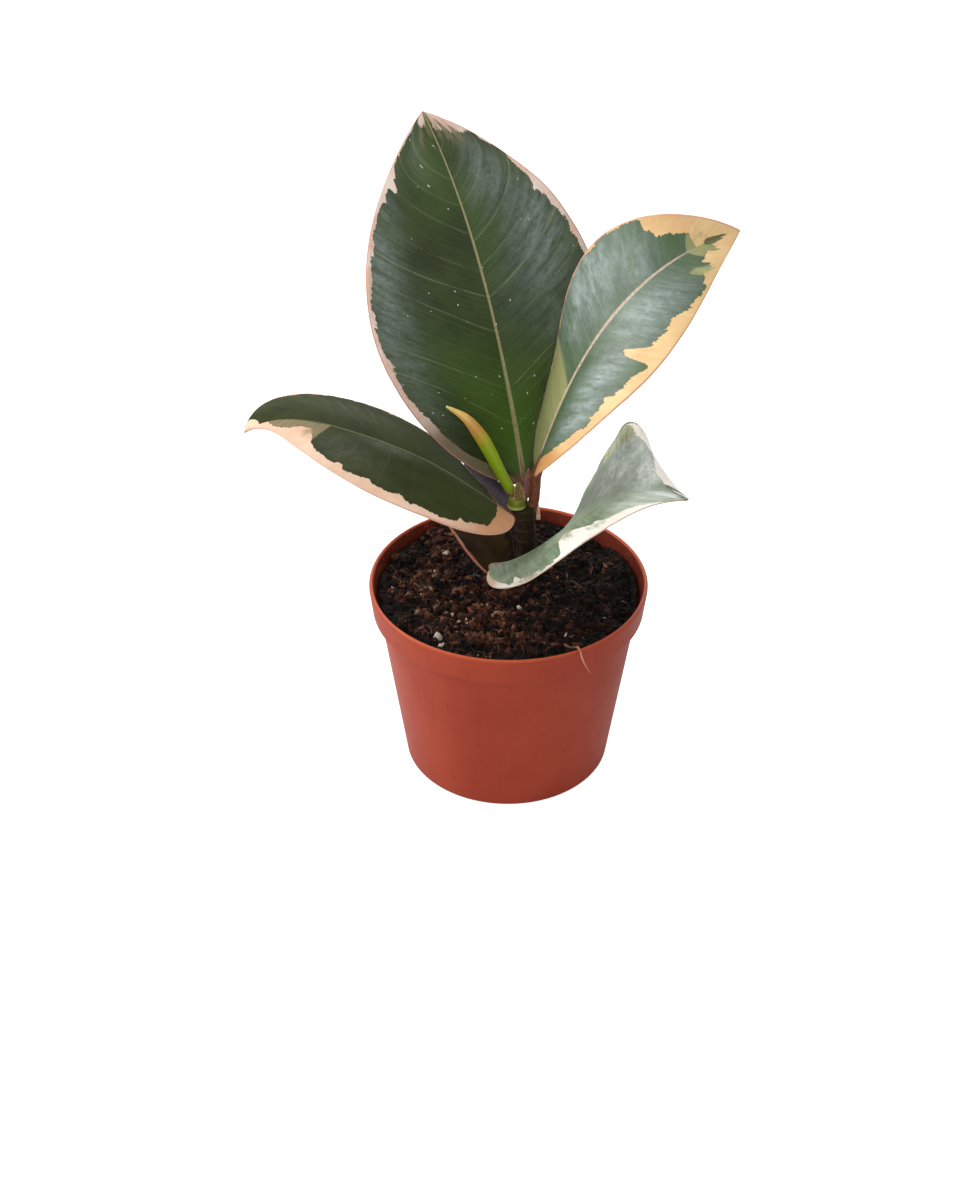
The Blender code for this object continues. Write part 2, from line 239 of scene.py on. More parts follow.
def pebbles(x, y, size, seed):
    # the highest of round domes, one placed at random in each square of that size
    table = np.random.default_rng(seed).random((64, 64, 4))
    xi, yi = np.floor(x / size).astype(int), np.floor(y / size).astype(int)
    best = np.zeros(np.shape(x))
    for a in (-1, 0, 1):
        for b in (-1, 0, 1):
            cell = table[(xi + a) % 64, (yi + b) % 64]
            away = np.hypot(x / size - (xi + a) - cell[..., 0], y / size - (yi + b) - cell[..., 1])
            dome = np.sqrt(np.clip(1 - (away / (0.35 + 0.45 * cell[..., 2])) ** 2, 0, None))
            best = np.maximum(best, dome * (0.3 + 0.7 * cell[..., 3]))
    return best * size


def along(values, u):
    # smooth value at u through evenly spaced ones: a parabola through three, cubic spans through more
    values, u = np.asarray(values, float), np.asarray(u, float)
    if values.ndim > 1:
        return np.stack([along(values[:, k], u) for k in range(values.shape[1])], -1)
    if len(values) == 3:
        return values[0] * (1 - u) * (1 - 2 * u) + 4 * values[1] * u * (1 - u) + values[2] * u * (2 * u - 1)
    spans = len(values) - 1
    padded = np.concatenate([[2 * values[0] - values[1]], values, [2 * values[-1] - values[-2]]])
    i = np.clip(np.floor(u * spans).astype(int), 0, spans - 1)
    t = u * spans - i
    a, b, c, d = padded[i], padded[i + 1], padded[i + 2], padded[i + 3]
    square, cube = 2 * a - 5 * b + 4 * c - d, 3 * b - a - 3 * c + d
    return 0.5 * (2 * b + (c - a) * t + square * t ** 2 + cube * t ** 3)


def unit(vectors):
    return vectors / (np.linalg.norm(vectors, axis=-1, keepdims=True) + 1e-12)


def smoothly(value, low, high):
    t = np.clip((value - low) / (high - low), 0, 1)
    return t * t * (3 - 2 * t)


def turnsOf(around):
    return np.linspace(0, 2 * pi, around, endpoint=False)


def tube(path, radii, around, sideways=(0.0, 0.0, 1.0), ripple=None):
    # rings at right angles to the path: radius times (cos, sin) on two axes, plus its ripple
    path = np.asarray(path, float)
    ahead = unit(np.gradient(path, axis=0))
    side = unit(np.cross(ahead, np.broadcast_to(np.asarray(sideways, float), path.shape)))
    up = np.cross(side, ahead)
    turn = turnsOf(around)[None]
    reach = np.broadcast_to(np.asarray(radii, float)[:, None], (len(path), around))
    if ripple is not None:
        reach = reach * (1 + ripple(np.linspace(0, 1, len(path))[:, None], turn))
    ring = np.cos(turn)[..., None] * side[:, None] + np.sin(turn)[..., None] * up[:, None]
    return dict(points=path[:, None] + reach[..., None] * ring)


def valued(surface, **values):
    # the surface with named values, one for each point, each ring or the whole of it
    size = surface["points"].shape[:2]
    return dict(surface, values={key: np.broadcast_to(value, size) for key, value in values.items()})


def lathe(profile, around, ripple):
    # the profile of (radius plus ripple, height) carried round the upright axis
    turn = turnsOf(around)
    radius = np.broadcast_to(profile[:, :1], (len(profile), around))
    height = np.broadcast_to(profile[:, 1:], radius.shape)
    radius = radius + ripple(height, turn[None])
    return dict(points=np.stack([radius * np.cos(turn), radius * np.sin(turn), height], -1))


def rounded(corners, radius, steps=5):
    # the polyline with each inner corner replaced by a curve from radius before to radius after
    corners = np.asarray(corners, float)
    out = [corners[:1]]
    for a, b, c in zip(corners, corners[1:], corners[2:]):
        back, on = np.linalg.norm(a - b), np.linalg.norm(c - b)
        cut = min(radius, back / 2.2, on / 2.2)
        start, end = b + (a - b) / back * cut, b + (c - b) / on * cut
        t = np.linspace(0, 1, steps)[:, None]
        out.append(start * (1 - t) ** 2 + 2 * b * t * (1 - t) + end * t ** 2)
    return np.vstack(out + [corners[-1:]])


def placePiece(name, mesh, materials, node=None):
    for material in materials:
        mesh.materials.append(material)
    piece = bpy.data.objects.new(name, mesh)
    scene.collection.objects.link(piece)
    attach(piece, "root")
    if node:
        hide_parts(node)
    print(f"{name}: {len(mesh.loops) - 2 * len(mesh.polygons)} triangles")
    return piece


def poleEnds(grid, ahead, pole):
    # triangles from the first ring to one pole and from the last ring to the next
    return np.vstack([np.stack([np.full_like(grid[0], pole), grid[0], ahead[0]], -1),
                      np.stack([np.full_like(grid[0], pole + 1), ahead[-1], grid[-1]], -1)])


def stripEnds(grid):
    # quads across a flat section, whose upper row runs forward and whose lower row runs back
    upper = np.arange(grid.shape[1] // 2 - 1)
    lower = grid.shape[1] - 1 - upper
    return np.vstack([np.stack([row[upper], row[upper + 1], row[lower - 1], row[lower]], -1)
                      for row in (grid[0], grid[-1])])


def filled(count, parts, width=()):
    # zeros, with each part written from its own start
    whole = np.zeros((count, *width), np.float32)
    for start, part in parts:
        whole[start:start + len(part)] = part
    return whole


def buildPiece(name, surfaces, materials, node=None):
    # joins closed grids into one mesh; each grid wraps round its second axis and is shut at both ends
    places, faces, slots, values, maps, first = [], [], [], {}, [], 0
    for surface in surfaces:
        points = surface["points"]
        rows, around = points.shape[:2]
        grid = first + np.arange(rows * around).reshape(rows, around)
        ahead = np.roll(grid, -1, axis=1)
        flat = points.reshape(-1, 3)
        if surface.get("isFlat"):
            ends = stripEnds(grid)
        else:
            ends = poleEnds(grid, ahead, first + len(flat))
            flat = np.vstack([flat, points[0].mean(0), points[-1].mean(0)])
        quads = np.stack([grid[:-1], grid[1:], ahead[1:], ahead[:-1]], -1).reshape(-1, 4)
        faces += [quads, ends]
        slots.append(np.full(len(quads) + len(ends), surface.get("slot", 0)))
        places.append(flat)
        for key, share in surface.get("values", {}).items():
            poles = np.full(len(flat) - share.size, share.mean())
            values.setdefault(key, []).append((first, np.concatenate([share.reshape(-1), poles])))
        if "map" in surface:
            maps.append((first, surface["map"].reshape(-1, 2)))
        first += len(flat)
    loops = np.concatenate([part.reshape(-1) for part in faces])
    totals = np.concatenate([np.full(len(part), part.shape[1]) for part in faces])
    mesh = bpy.data.meshes.new(name)
    mesh.vertices.add(first)
    mesh.vertices.foreach_set("co", (np.vstack(places) * mm).astype(np.float32).reshape(-1))
    mesh.loops.add(len(loops))
    mesh.loops.foreach_set("vertex_index", loops.astype(np.int32))
    mesh.polygons.add(len(totals))
    mesh.polygons.foreach_set("loop_start", np.concatenate([[0], np.cumsum(totals)[:-1]]).astype(np.int32))
    mesh.polygons.foreach_set("material_index", np.concatenate(slots).astype(np.int32))
    mesh.update(calc_edges=True)
    for key, parts in values.items():
        mesh.attributes.new(key, "FLOAT", "POINT").data.foreach_set("value", filled(first, parts))
    if maps:
        layer = mesh.uv_layers.new(name="blade")
        layer.data.foreach_set("uv", filled(first, maps, (2,))[loops].reshape(-1))
    bm = bmesh.new()
    bm.from_mesh(mesh)
    bmesh.ops.recalc_face_normals(bm, faces=bm.faces)
    bm.to_mesh(mesh)
    bm.free()
    mesh.shade_smooth()
    return placePiece(name, mesh, materials, node)


sheet = dict(rows=190, columns=101, crowding=1.25, leastHalf=0.15, thick=0.46, thinner=0.2, veinBend=1.15,
             waveLength=12, waveWidth=9, flutterLength=6.5, firstStation=-0.2)
rib = dict(reach=0.95, tipRadius=0.26, thinning=0.55, proud=0.10, stations=14, rings=150, around=22)


def halfWidths(leaf, side, u):
    # the side's widest value times u^rise (1-u)^fall, scaled to 1 at its peak
    rise, fall = leaf["shape" + side]
    peak = rise / (rise + fall)
    half = leaf["wide" + side] * (u / peak) ** rise * ((1 - u) / (1 - peak)) ** fall
    return np.maximum(half, sheet["leastHalf"])


def aim(heading, climb):
    return np.stack([np.cos(climb) * np.cos(heading), np.cos(climb) * np.sin(heading), np.sin(climb)], -1)


def midrib(leaf, u):
    # base plus length times the running sum of the direction that heading and climb give;
    # the blade's left and its normal are turned about that direction by roll
    steps = 800
    fine = np.linspace(0, 1, steps + 1)
    toward = aim(*(np.radians(along(leaf[key], fine)) for key in ("heading", "climb")))
    line = np.vstack([np.zeros(3), np.cumsum((toward[1:] + toward[:-1]) / 2 / steps, 0)]) * leaf["length"]
    middle = np.stack([np.interp(u, fine, line[:, k]) for k in range(3)], 1) + leaf["base"]
    heading, climb, roll = (np.radians(along(leaf[key], u)) for key in ("heading", "climb", "roll"))
    left = np.stack([-np.sin(heading), np.cos(heading), 0 * heading], -1)
    up = np.cross(aim(heading, climb), left)
    across, rise = np.cos(roll)[:, None], np.sin(roll)[:, None]
    return middle, left * across + up * rise, up * across - left * rise


def bladeSheet(leaf):
    # each half leaves the midrib at its lift angle and bends by its curl on the way to the margin;
    # ripples between the side veins, slow waves and a fluttering margin move it along its normal
    s, t = np.linspace(0, 1, sheet["rows"]), np.linspace(-1, 1, sheet["columns"])
    u = 0.5 * s + 0.25 * (1 - np.cos(pi * s))   # rows stand closer at the base and the tip
    v = (np.sign(t) * np.abs(t) ** sheet["crowding"])[None]
    middle, left, normal = midrib(leaf, u)
    isLeft, reach = v > 0, np.abs(v)

    def bySide(make):
        return np.where(isLeft, make("Left")[:, None], make("Right")[:, None])

    half = bySide(lambda side: halfWidths(leaf, side, u))
    lift = bySide(lambda side: np.radians(along(leaf["lift" + side], u)))
    curl = bySide(lambda side: np.radians(along(leaf["curl" + side], u)))
    angle = lift + curl * reach / 2
    chord = half * reach * np.sinc(curl / 2 * reach / pi)
    side = np.where(isLeft, 1.0, -1.0)
    toward = (side * np.cos(angle))[..., None] * left[:, None] + np.sin(angle)[..., None] * normal[:, None]
    points = middle[:, None] + chord[..., None] * toward
    vein = u[:, None] - np.where(isLeft, *leaf["slant"]) * reach ** sheet["veinBend"]
    across, far = v * half, u[:, None] * leaf["length"]
    seed = leaf["seed"]
    swell = leaf["ripple"] * rugged(vein * leaf["length"] / leaf["veinGap"], side * 9 + reach * 1.2, seed, 2)
    swell = swell * smoothly(reach, 0.03, 0.3) * (1 - 0.6 * reach ** 4)
    waves = lattice(far / sheet["waveLength"], across / sheet["waveWidth"] + 20, seed + 7)
    flutter = lattice(far / sheet["flutterLength"], side * 5 + 20, seed + 9)
    swell = swell + leaf["wave"] * waves * reach + leaf["flutter"] * flutter * reach ** 5
    swell = swell * (smoothly(u, 0.0, 0.08) * smoothly(1 - u, 0.0, 0.06))[:, None]
    points = points + outward(points) * swell[..., None]
    return u, v, points, outward(points), half, vein


def outward(points):
    return unit(np.cross(np.gradient(points, axis=0), np.gradient(points, axis=1)))


def blade(leaf):
    # upper and lower skin half a thickness either side of the sheet, joined at the margin
    u, v, points, out, half, vein = bladeSheet(leaf)
    reach, isLeft = np.abs(v), v > 0
    sides = dict(Left=isLeft, Right=~isLeft, Both=True)
    thick = (sheet["thick"] - sheet["thinner"] * reach ** 2)[..., None] / 2
    ring = np.concatenate([points + out * thick, (points - out * thick)[:, ::-1]], 1)
    stations = np.linspace(sheet["firstStation"], 1, len(leaf["greenLeft"]))
    limit = np.where(isLeft, *(np.interp(vein, stations, leaf["green" + side]) for side in ("Left", "Right")))
    for which, place, depth, spread in leaf["nicks"]:
        limit = limit - np.where(sides[which], depth * np.exp(-((vein - place) / spread) ** 4), 0)

    def blots(key, power):
        # highest of amount times exp(-distance^power), distance counted in each blot's own spreads
        whole = np.zeros_like(vein)
        for which, place, middle, spread, sideSpread, amount in leaf[key]:
            away = np.abs((vein - place) / spread) ** power + np.abs((reach - middle) / sideSpread) ** power
            whole = np.maximum(whole, np.where(sides[which], amount * np.exp(-away), 0))
        return whole

    def both(grid):   # the same on the upper skin and, run back, on the lower one
        grid = np.broadcast_to(grid, points.shape[:2])
        return np.concatenate([grid, grid[:, ::-1]], 1)

    ribHalf = leaf["rib"] * (0.78 - 0.42 * smoothly(u, 0, 0.45) - 0.2 * smoothly(u, 0.5, 1))[:, None]
    values = dict(
        pale=blots("patches", 8), mark=blots("marks", 4), haze=blots("haze", 2), glow=blots("glow", 2),
        paintedSheen=blots("paintedSheen", 2), edge=(reach - limit) * half, rim=(1 - reach) * half,
        ribShare=reach * half / ribHalf, start=u[:, None] * leaf["length"], tipShare=u[:, None])
    values = {key: both(grid) for key, grid in values.items()}
    values["under"] = np.concatenate([np.zeros(points.shape[:2]), np.ones(points.shape[:2])], 1)
    pattern = np.stack([both(vein * leaf["length"] / 10), both(v * half / 10 + 3 * isLeft)], -1)
    return dict(points=ring, isFlat=True, values=values, map=pattern)


def ribTube(leaf):
    # round stalk through the petiole's points, then under the midrib with a thinning radius
    reach = np.linspace(0, 1, rib["stations"])
    middle, _, normal = midrib(leaf, rib["reach"] * reach)
    radii = leaf["rib"] + (rib["tipRadius"] - leaf["rib"]) * reach ** rib["thinning"]
    proud = rib["proud"] + (leaf["rib"] - 0.25) * np.exp(-reach * 20)
    path = np.vstack([leaf["petiole"], middle - normal * (radii - proud)[:, None]])
    radii = np.concatenate([np.full(len(leaf["petiole"]), leaf["rib"]), radii])
    t = np.linspace(0, 1, rib["rings"])
    body = tube(along(path, t), along(radii, t), rib["around"], sideways=normal[0])
    return dict(valued(body, stalk=t[:, None] * (len(path) - 1) / len(leaf["petiole"])), slot=1)


skin = dict(   # the same on every leaf; noise repeats per 10 mm along and across a blade, or per metre
    streaks=(9.0, 1.3, 1.0), hairs=(40.0, 5.0, 1.0), smears=(5.2, 1.5, 1.0), smudge=(10.0, 5.0, 1.0),
    clouds=110.0, leather=700.0, grain=2600.0, veinThin=0.034, threads=5.3, threadThin=0.12,
    dotScale=5.0, dotSize=0.085, dotTone="#e9ebe3", fringe=0.06, bump=0.55, bumpDepth=0.00012)


def bladeMaterial(name, look):
    # mottled green with side veins, streaks and blots of painted sheen, then patches, the cream border, haze,
    # the rim, dark marks, the warm foot, the midrib's line and white dots; the underside is the same, paler
    material, tree = startMaterial(name)
    pattern, where = add(tree, "UVMap", {}, "UV", uv_map="blade"), onObject(tree)
    streaks = noise(pattern * skin["streaks"], 1.0, 4.0, 0.6)
    hairs = noise(pattern * skin["hairs"], 1.0, 3.0, 0.6)
    smears = noise(pattern * skin["smears"], 1.0, 8.0, 0.72)
    smudge = noise(pattern * skin["smudge"], 1.0, 4.0, 0.65)
    clouds, leather = noise(where, skin["clouds"], 4.0, 0.6), noise(where, skin["leather"], 5.0, 0.7)
    grain = grainAt(tree, skin["grain"])[0]

    def lines(finer, thin):
        return useGroup(tree, sideVeins, "Line", Pattern=pattern, Steps=look["veinSteps"] * finer, Thin=thin)

    def torn(result, edge, amount, softness):
        values = dict(Pattern=pattern, Edge=edge, Amount=amount, Softness=softness)
        return useGroup(tree, raggedEdge, result, **values)

    def value(name):
        return attribute(tree, name)

    veins, threads = lines(1.0, skin["veinThin"]), lines(skin["threads"], skin["threadThin"])
    # blots of a pale grey-blue, broken up by noise, go on the green below: painted sheen
    gloss = value("paintedSheen") * (stepUp(smears, 0.32, 0.68) * 0.75 + 0.25)
    green = layered(
        look["deep"],
        (stepUp(clouds, 0.35, 0.68), look["green"]),
        # greyer streaks along the veins over the whole blade: painted sheen
        (stepUp(streaks, 0.45, 0.75) * look["bloomShare"], look["bloom"]),
        # a deeper, more saturated green in blots; on leafBack it is brighter near the base: painted light
        # shining through the blade
        (value("glow"), look["glow"]),
        (gloss * (stepUp(leather, 0.38, 0.62) * 0.32 + 0.7), look["gloss"]),
        (veins * look["veinShare"], look["vein"]),
        (threads * (look["veinShare"] * 0.35), look["vein"]),
        (stepUp(hairs, 0.62, 0.70) * 0.22, look["deep"]))
    patch = layered(
        look["patch"],
        (stepUp(streaks, 0.45, 0.7) * look["patchStreaks"], look["patchDark"]),
        (stepUp(clouds, 0.5, 0.7) * 0.3, look["patchDark"]))
    start = value("start")
    cream = layered(
        look["cream"],
        (stepUp(clouds, 0.38, 0.62), look["creamDeep"]),
        (stepUp(streaks, 0.5, 0.72) * 0.3, look["blush"]),
        (stepUp(hairs, 0.55, 0.7) * 0.25, look["patch"]),
        # towards the foot the cream turns to the warm colour, which on leafBack is a dark olive-brown:
        # painted shade
        (stepUp(start, look["warmEnd"], look["warmEnd"] * 0.6) * 0.9, look["warm"]))
    border, fringe = torn(("Mask", "Fringe"), value("edge"), look["ragged"], skin["fringe"])
    ribTone = over(look["rib"], stepUp(streaks, 0.35, 0.65), look["ribDark"])
    ribEnd = stepUp(value("tipShare"), look["ribEnd"], look["ribEnd"] - 0.12)
    dots = useGroup(tree, specks, "Mask", Where=pattern, Scale=skin["dotScale"], Size=skin["dotSize"],
                    Share=look["specks"])
    under = value("under")
    base = layered(
        green,
        (torn("Mask", value("pale") * 2.0 - 1.0, 0.4, 0.3), patch),
        (fringe * 0.5, look["fringe"]),
        (border, cream),
        (stepUp(smudge * 1.2 + value("haze"), 0.75, 1.25) * 0.85, look["haze"]),
        (stepUp(value("rim"), look["rimWide"], look["rimWide"] * 0.4) * 0.85, look["rim"]),
        (torn("Mask", value("mark") * 2.0 - 1.0, 0.9, 0.25) * 0.9, look["mark"]),
        (stepUp(clouds * 5.0 + (start - 2.5), look["footEnd"], 0.0) * look["footShare"], look["foot"]),
        (stepUp(value("ribShare"), 1.15, 0.7) * ribEnd * 0.85, ribTone),
        (dots * 0.85, skin["dotTone"]))
    base = over(base, under, over(base, border * -0.4 + 0.55, look["under"]))
    rough = under * 0.15 + (streaks * 0.16 + look["rough"])
    height = streaks * 0.8 + (threads * 0.3 + (veins * 0.9 + grain * 0.35))
    return finishMaterial(material, base, rough, height, skin["bump"], skin["bumpDepth"], look["shine"])


def stalkMaterial(name, look):
    # the midrib's pale line turns into the stalk's colour towards the stem
    material, tree = startMaterial(name)
    height, tone = grainAt(tree, 1500.0)
    line = over(look["rib"], stepUp(tone, 0.35, 0.65), look["ribDark"])
    lower = over(look["stalk"], stepUp(height, 0.35, 0.7), look["stalkDark"])
    base = over(lower, stepUp(attribute(tree, "stalk"), 0.9, 2.6), line)
    return finishMaterial(material, base, tone * 0.2 + 0.33, height, 0.35, 0.00015)


# headings turn from +X towards +Y and climbs are above the horizontal, both in degrees along the midrib;
# green values say how far out the green reaches at even steps from base to tip, below 0 where none is left;
# a nick is side, place, depth, spread, and a blot is side, place, how far out, the spreads of both, amount
leafBack = dict(
    node="leaf_back", seed=11, base=(3.2, 7.0, 64.5), length=82.7, wideLeft=27.8, wideRight=24.8,
    heading=(116, 115, 122), climb=(71, 54, 37), roll=(4, -3, 1), liftLeft=(16, 10, 1), liftRight=(1, 4, 3),
    curlLeft=(1, -4, -8), curlRight=(-2, -3, -6), shapeLeft=(0.71, 0.91), shapeRight=(0.79, 0.88),
    petiole=((3.1, 3.2, 60.4), (3.1, 5.0, 62.4)), rib=0.95, slant=(0.2, 0.2), ripple=0.16, veinGap=2.6,
    wave=0.35, flutter=0.18,
    greenLeft=(-2, -2, -2, -0.4, 0.8, 0.88, 0.905, 0.93, 0.94, 0.945, 0.95, 0.955, 0.96, 0.96, 0.955, 0.945,
               0.95, 0.95, 0.955, 0.965, 0.95, 0.93, 0.95, 0.985, 0.95, 0.86, 0.7, 0.46, 0.24, 0.05, -0.1),
    greenRight=(0.9, 0.9, 0.9, 0.95, *[0.97] * 9, 0.96, 0.955, 0.945, 0.95, 0.945, 0.92, 0.9, 0.93, 0.97,
                0.985, 0.94, 0.8, 0.62, 0.46, 0.32, 0.18, 0.05, -0.2),
    nicks=(("Left", 0.65, 0.15, 0.012), ("Left", 0.672, 0.08, 0.008), ("Left", 0.6, 0.04, 0.008),
           ("Right", 0.42, 0.03, 0.01), ("Right", 0.5, 0.03, 0.012), ("Right", 0.56, 0.04, 0.008)),
    marks=(("Both", 0.965, 0.0, 0.03, 0.3, 0.9),),
    haze=(("Right", 0.8, 0.62, 0.035, 0.12, 0.7), ("Right", 0.86, 0.42, 0.04, 0.12, 0.8),
          ("Right", 0.91, 0.2, 0.04, 0.15, 0.6), ("Left", 0.86, 0.42, 0.03, 0.1, 0.6),
          ("Left", 0.92, 0.15, 0.03, 0.15, 0.6), ("Left", -0.09, 0.8, 0.035, 0.12, 0.9)),
    # the glow blots near the base are painted light shining through the blade
    glow=(("Both", 0.1, 0.0, 0.2, 0.4, 0.9), ("Left", 0.2, 0.25, 0.12, 0.35, 0.6),
          ("Left", 0.8, 0.3, 0.12, 0.3, 0.35), ("Right", 0.66, 0.1, 0.14, 0.2, 0.35)),
    paintedSheen=(("Left", 0.38, 0.88, 0.24, 0.2, 1.0), ("Left", 0.8, 0.55, 0.07, 0.25, 0.4),
           ("Right", 0.5, 0.62, 0.17, 0.34, 0.95), ("Right", 0.72, 0.5, 0.1, 0.35, 0.8),
           ("Right", 0.3, 0.6, 0.05, 0.16, 0.55), ("Left", 0.1, 0.8, 0.08, 0.15, 0.3)),
    patches=(),
    # warm here is a dark olive-brown over the cream border near the base: painted shade
    look=dict(deep="#24300f", green="#35431a", bloom="#3e4a2e", bloomShare=0.35, glow="#47681c",
              gloss="#86938c", vein="#8a966e", veinSteps=1.5, veinShare=0.55, patch="#8f9882",
              patchDark="#56634a", patchStreaks=0.7, cream="#f0e0d2", creamDeep="#e2c0ae", blush="#d09a88",
              warm="#66583c", warmEnd=21.0, fringe="#4c4a2a", ragged=0.9, haze="#716d50", rim="#c88e78",
              rimWide=0.35, mark="#59602f", foot="#8c5847", footEnd=3.6, footShare=0.9, rib="#b3a67e",
              ribDark="#9a9464", ribEnd=1.2, stalk="#8c6250", stalkDark="#6e4438", under="#8f9a72",
              specks=0.5, rough=0.4, shine=0.26))
leafRight = dict(
    node="leaf_right", seed=23, base=(5.6, 1.8, 70.4), length=68.8, wideLeft=16.8, wideRight=17.4,
    heading=(14, 12, 9), climb=(74, 56, 11), roll=(-14, 14, 70), liftLeft=(12, 2, 44), liftRight=(13, 0, 9),
    curlLeft=(-3, -6, 6), curlRight=(-3, -11, -4), shapeLeft=(0.61, 0.84), shapeRight=(0.58, 0.85),
    petiole=((4.2, 2.3, 60.4), (5.2, 2.4, 62.9), (5.5, 2.0, 66.8)), rib=1.15, slant=(0.06, 0.14),
    ripple=0.12, veinGap=2.2, wave=0.25, flutter=0.12,
    greenLeft=(*[0.97] * 4, 0.975, 0.98, *[0.985] * 14, 0.98, 0.98, 0.98, 0.975, 0.6, 0.56, 0.47, -0.1,
               -0.6, -0.9, -1),
    greenRight=(*[-2] * 4, -1.5, -1.0, 0.6, 0.76, 0.83, 0.86, 0.82, 0.84, 0.83, 0.86, 0.84, 0.9, 0.86, 0.73,
                0.72, 0.78, 0.73, 0.88, 0.9, 0.86, 0.72, 0.5, 0.4, 0.22, -0.3, -0.7, -1),
    nicks=(("Right", 0.446, 0.33, 0.023), ("Right", 0.275, 0.05, 0.008), ("Left", 0.73, 0.08, 0.006)),
    patches=(("Left", 0.103, 0.5, 0.216, 0.6, 1.0), ("Left", 0.862, 0.18, 0.028, 0.3, 1.0),
             ("Right", 0.775, 0.62, 0.018, 0.24, 0.8), ("Right", 0.87, 0.2, 0.035, 0.28, 1.0)),
    marks=(("Left", 0.925, 0.06, 0.036, 0.11, 1.0), ("Right", 0.912, 0.03, 0.03, 0.13, 1.0)),
    haze=(("Right", 0.78, 0.62, 0.02, 0.2, 0.7), ("Left", 0.87, 0.3, 0.02, 0.15, 0.5)),
    glow=(("Right", 0.045, 0.3, 0.035, 0.8, 0.9), ("Both", 0.3, 0.0, 0.22, 0.2, 0.5),
          ("Left", 0.335, 0.4, 0.035, 0.6, 0.6), ("Left", 0.79, 0.35, 0.045, 0.32, 1.0),
          ("Right", 0.8, 0.4, 0.04, 0.4, 0.9), ("Right", 0.41, 0.85, 0.05, 0.1, 0.8),
          ("Right", 0.68, 0.9, 0.06, 0.12, 0.8), ("Right", 0.56, 0.8, 0.06, 0.1, 0.5),
          ("Right", 0.2, 0.15, 0.15, 0.15, 0.5)),
    paintedSheen=(("Left", 0.52, 0.7, 0.16, 0.5, 0.9), ("Left", 0.68, 0.4, 0.07, 0.5, 0.6),
           ("Right", 0.2, 0.62, 0.1, 0.22, 1.0), ("Right", 0.34, 0.45, 0.14, 0.22, 0.9),
           ("Right", 0.6, 0.4, 0.16, 0.4, 0.75)),
    look=dict(deep="#42553c", green="#52684a", bloom="#6c8073", bloomShare=0.5, glow="#3f5a2e",
              gloss="#b2bebf", vein="#869682", veinSteps=1.9, veinShare=0.3, patch="#989a68",
              patchDark="#7d8450", patchStreaks=0.3, cream="#efcd94", creamDeep="#e8bd86", blush="#dfa274",
              warm="#d99a5c", warmEnd=14.0, fringe="#3f4f2e", ragged=1.5, haze="#a8a878", rim="#dca184",
              rimWide=0.4, mark="#46562a", foot="#a8703f", footEnd=2.4, footShare=0.8, rib="#d8c8b8",
              ribDark="#bf9a84", ribEnd=0.9, stalk="#8a4f38", stalkDark="#5c3020", under="#9aa47c",
              specks=0.02, rough=0.42, shine=0.45))
leafLeft = dict(
    node="leaf_left", seed=37, base=(-1.2, 0.8, 61.7), length=63.4, wideLeft=27.1, wideRight=16.3,
    heading=(207, 195, 179, 163, 175), climb=(46, 41, 23, 2, -35), roll=(3, 3, 7, 7, -3),
    liftLeft=(10, 3, 3, 5, 0), liftRight=(10, 8, 5, 4, 5), curlLeft=(-2, -6, -9, -12, -21),
    curlRight=(-1, -5, -8, -14, -19), shapeLeft=(1.02, 1.72), shapeRight=(0.34, 0.21),
    petiole=((2.2, 1.9, 59.2), (0.5, 1.3, 60.0)), rib=0.9, slant=(0.04, 0.2), ripple=0.1, veinGap=2.3,
    wave=0.25, flutter=0.14,
    greenLeft=(*[-2] * 4, -1, -0.4, 0.1, 0.38, 0.57, 0.73, 0.86, 0.865, 0.85, 0.9, 0.92, 0.89, 0.86, 0.86,
               0.84, 0.86, 0.86, 0.82, 0.66, 0.34, 0.36, 0.68, 0.74, 0.45, -0.1, -0.4, -0.6),
    greenRight=(0.88, 0.89, 0.9, 0.91, 0.93, 0.95, 0.975, *[0.985] * 21, 0.4, -0.5, -1),
    nicks=(("Left", 0.285, 0.05, 0.006), ("Left", 0.58, 0.09, 0.012), ("Left", 0.51, 0.04, 0.01),
           ("Left", 0.435, 0.05, 0.01)),
    patches=(("Left", 0.8, 0.45, 0.118, 0.9, 1.0),),
    marks=(("Left", 0.8, 0.0, 0.11, 0.06, 0.8),),
    haze=(("Left", 0.72, 0.45, 0.02, 0.2, 0.6),),
    glow=(("Both", 0.22, 0.3, 0.16, 0.5, 0.8), ("Right", 0.35, 0.3, 0.2, 0.4, 0.6)),
    paintedSheen=(("Right", 0.52, 0.62, 0.26, 0.3, 0.5), ("Right", 0.3, 0.96, 0.3, 0.08, 0.5),
           ("Right", 0.6, 0.6, 0.08, 0.25, 0.5), ("Right", 0.7, 0.95, 0.12, 0.12, 0.4),
           ("Left", 0.5, 0.08, 0.1, 0.1, 0.6), ("Left", 0.6, 0.5, 0.08, 0.3, 0.4)),
    look=dict(deep="#282e16", green="#353b1c", bloom="#363b26", bloomShare=0.3, glow="#39421e",
              gloss="#6c6e60", vein="#4c5534", veinSteps=1.9, veinShare=0.3, patch="#857a5c",
              patchDark="#625c40", patchStreaks=0.6, cream="#e6c9b0", creamDeep="#deb69c", blush="#e0a48c",
              warm="#c08a62", warmEnd=24.0, fringe="#4a4020", ragged=1.2, haze="#a5936f", rim="#d9a995",
              rimWide=0.3, mark="#4c4c30", foot="#9a6650", footEnd=4.0, footShare=0.7, rib="#777a5a",
              ribDark="#565a3c", ribEnd=0.8, stalk="#8d5a48", stalkDark="#6d4434", under="#8d9470",
              specks=0.02, rough=0.55, shine=0.05))
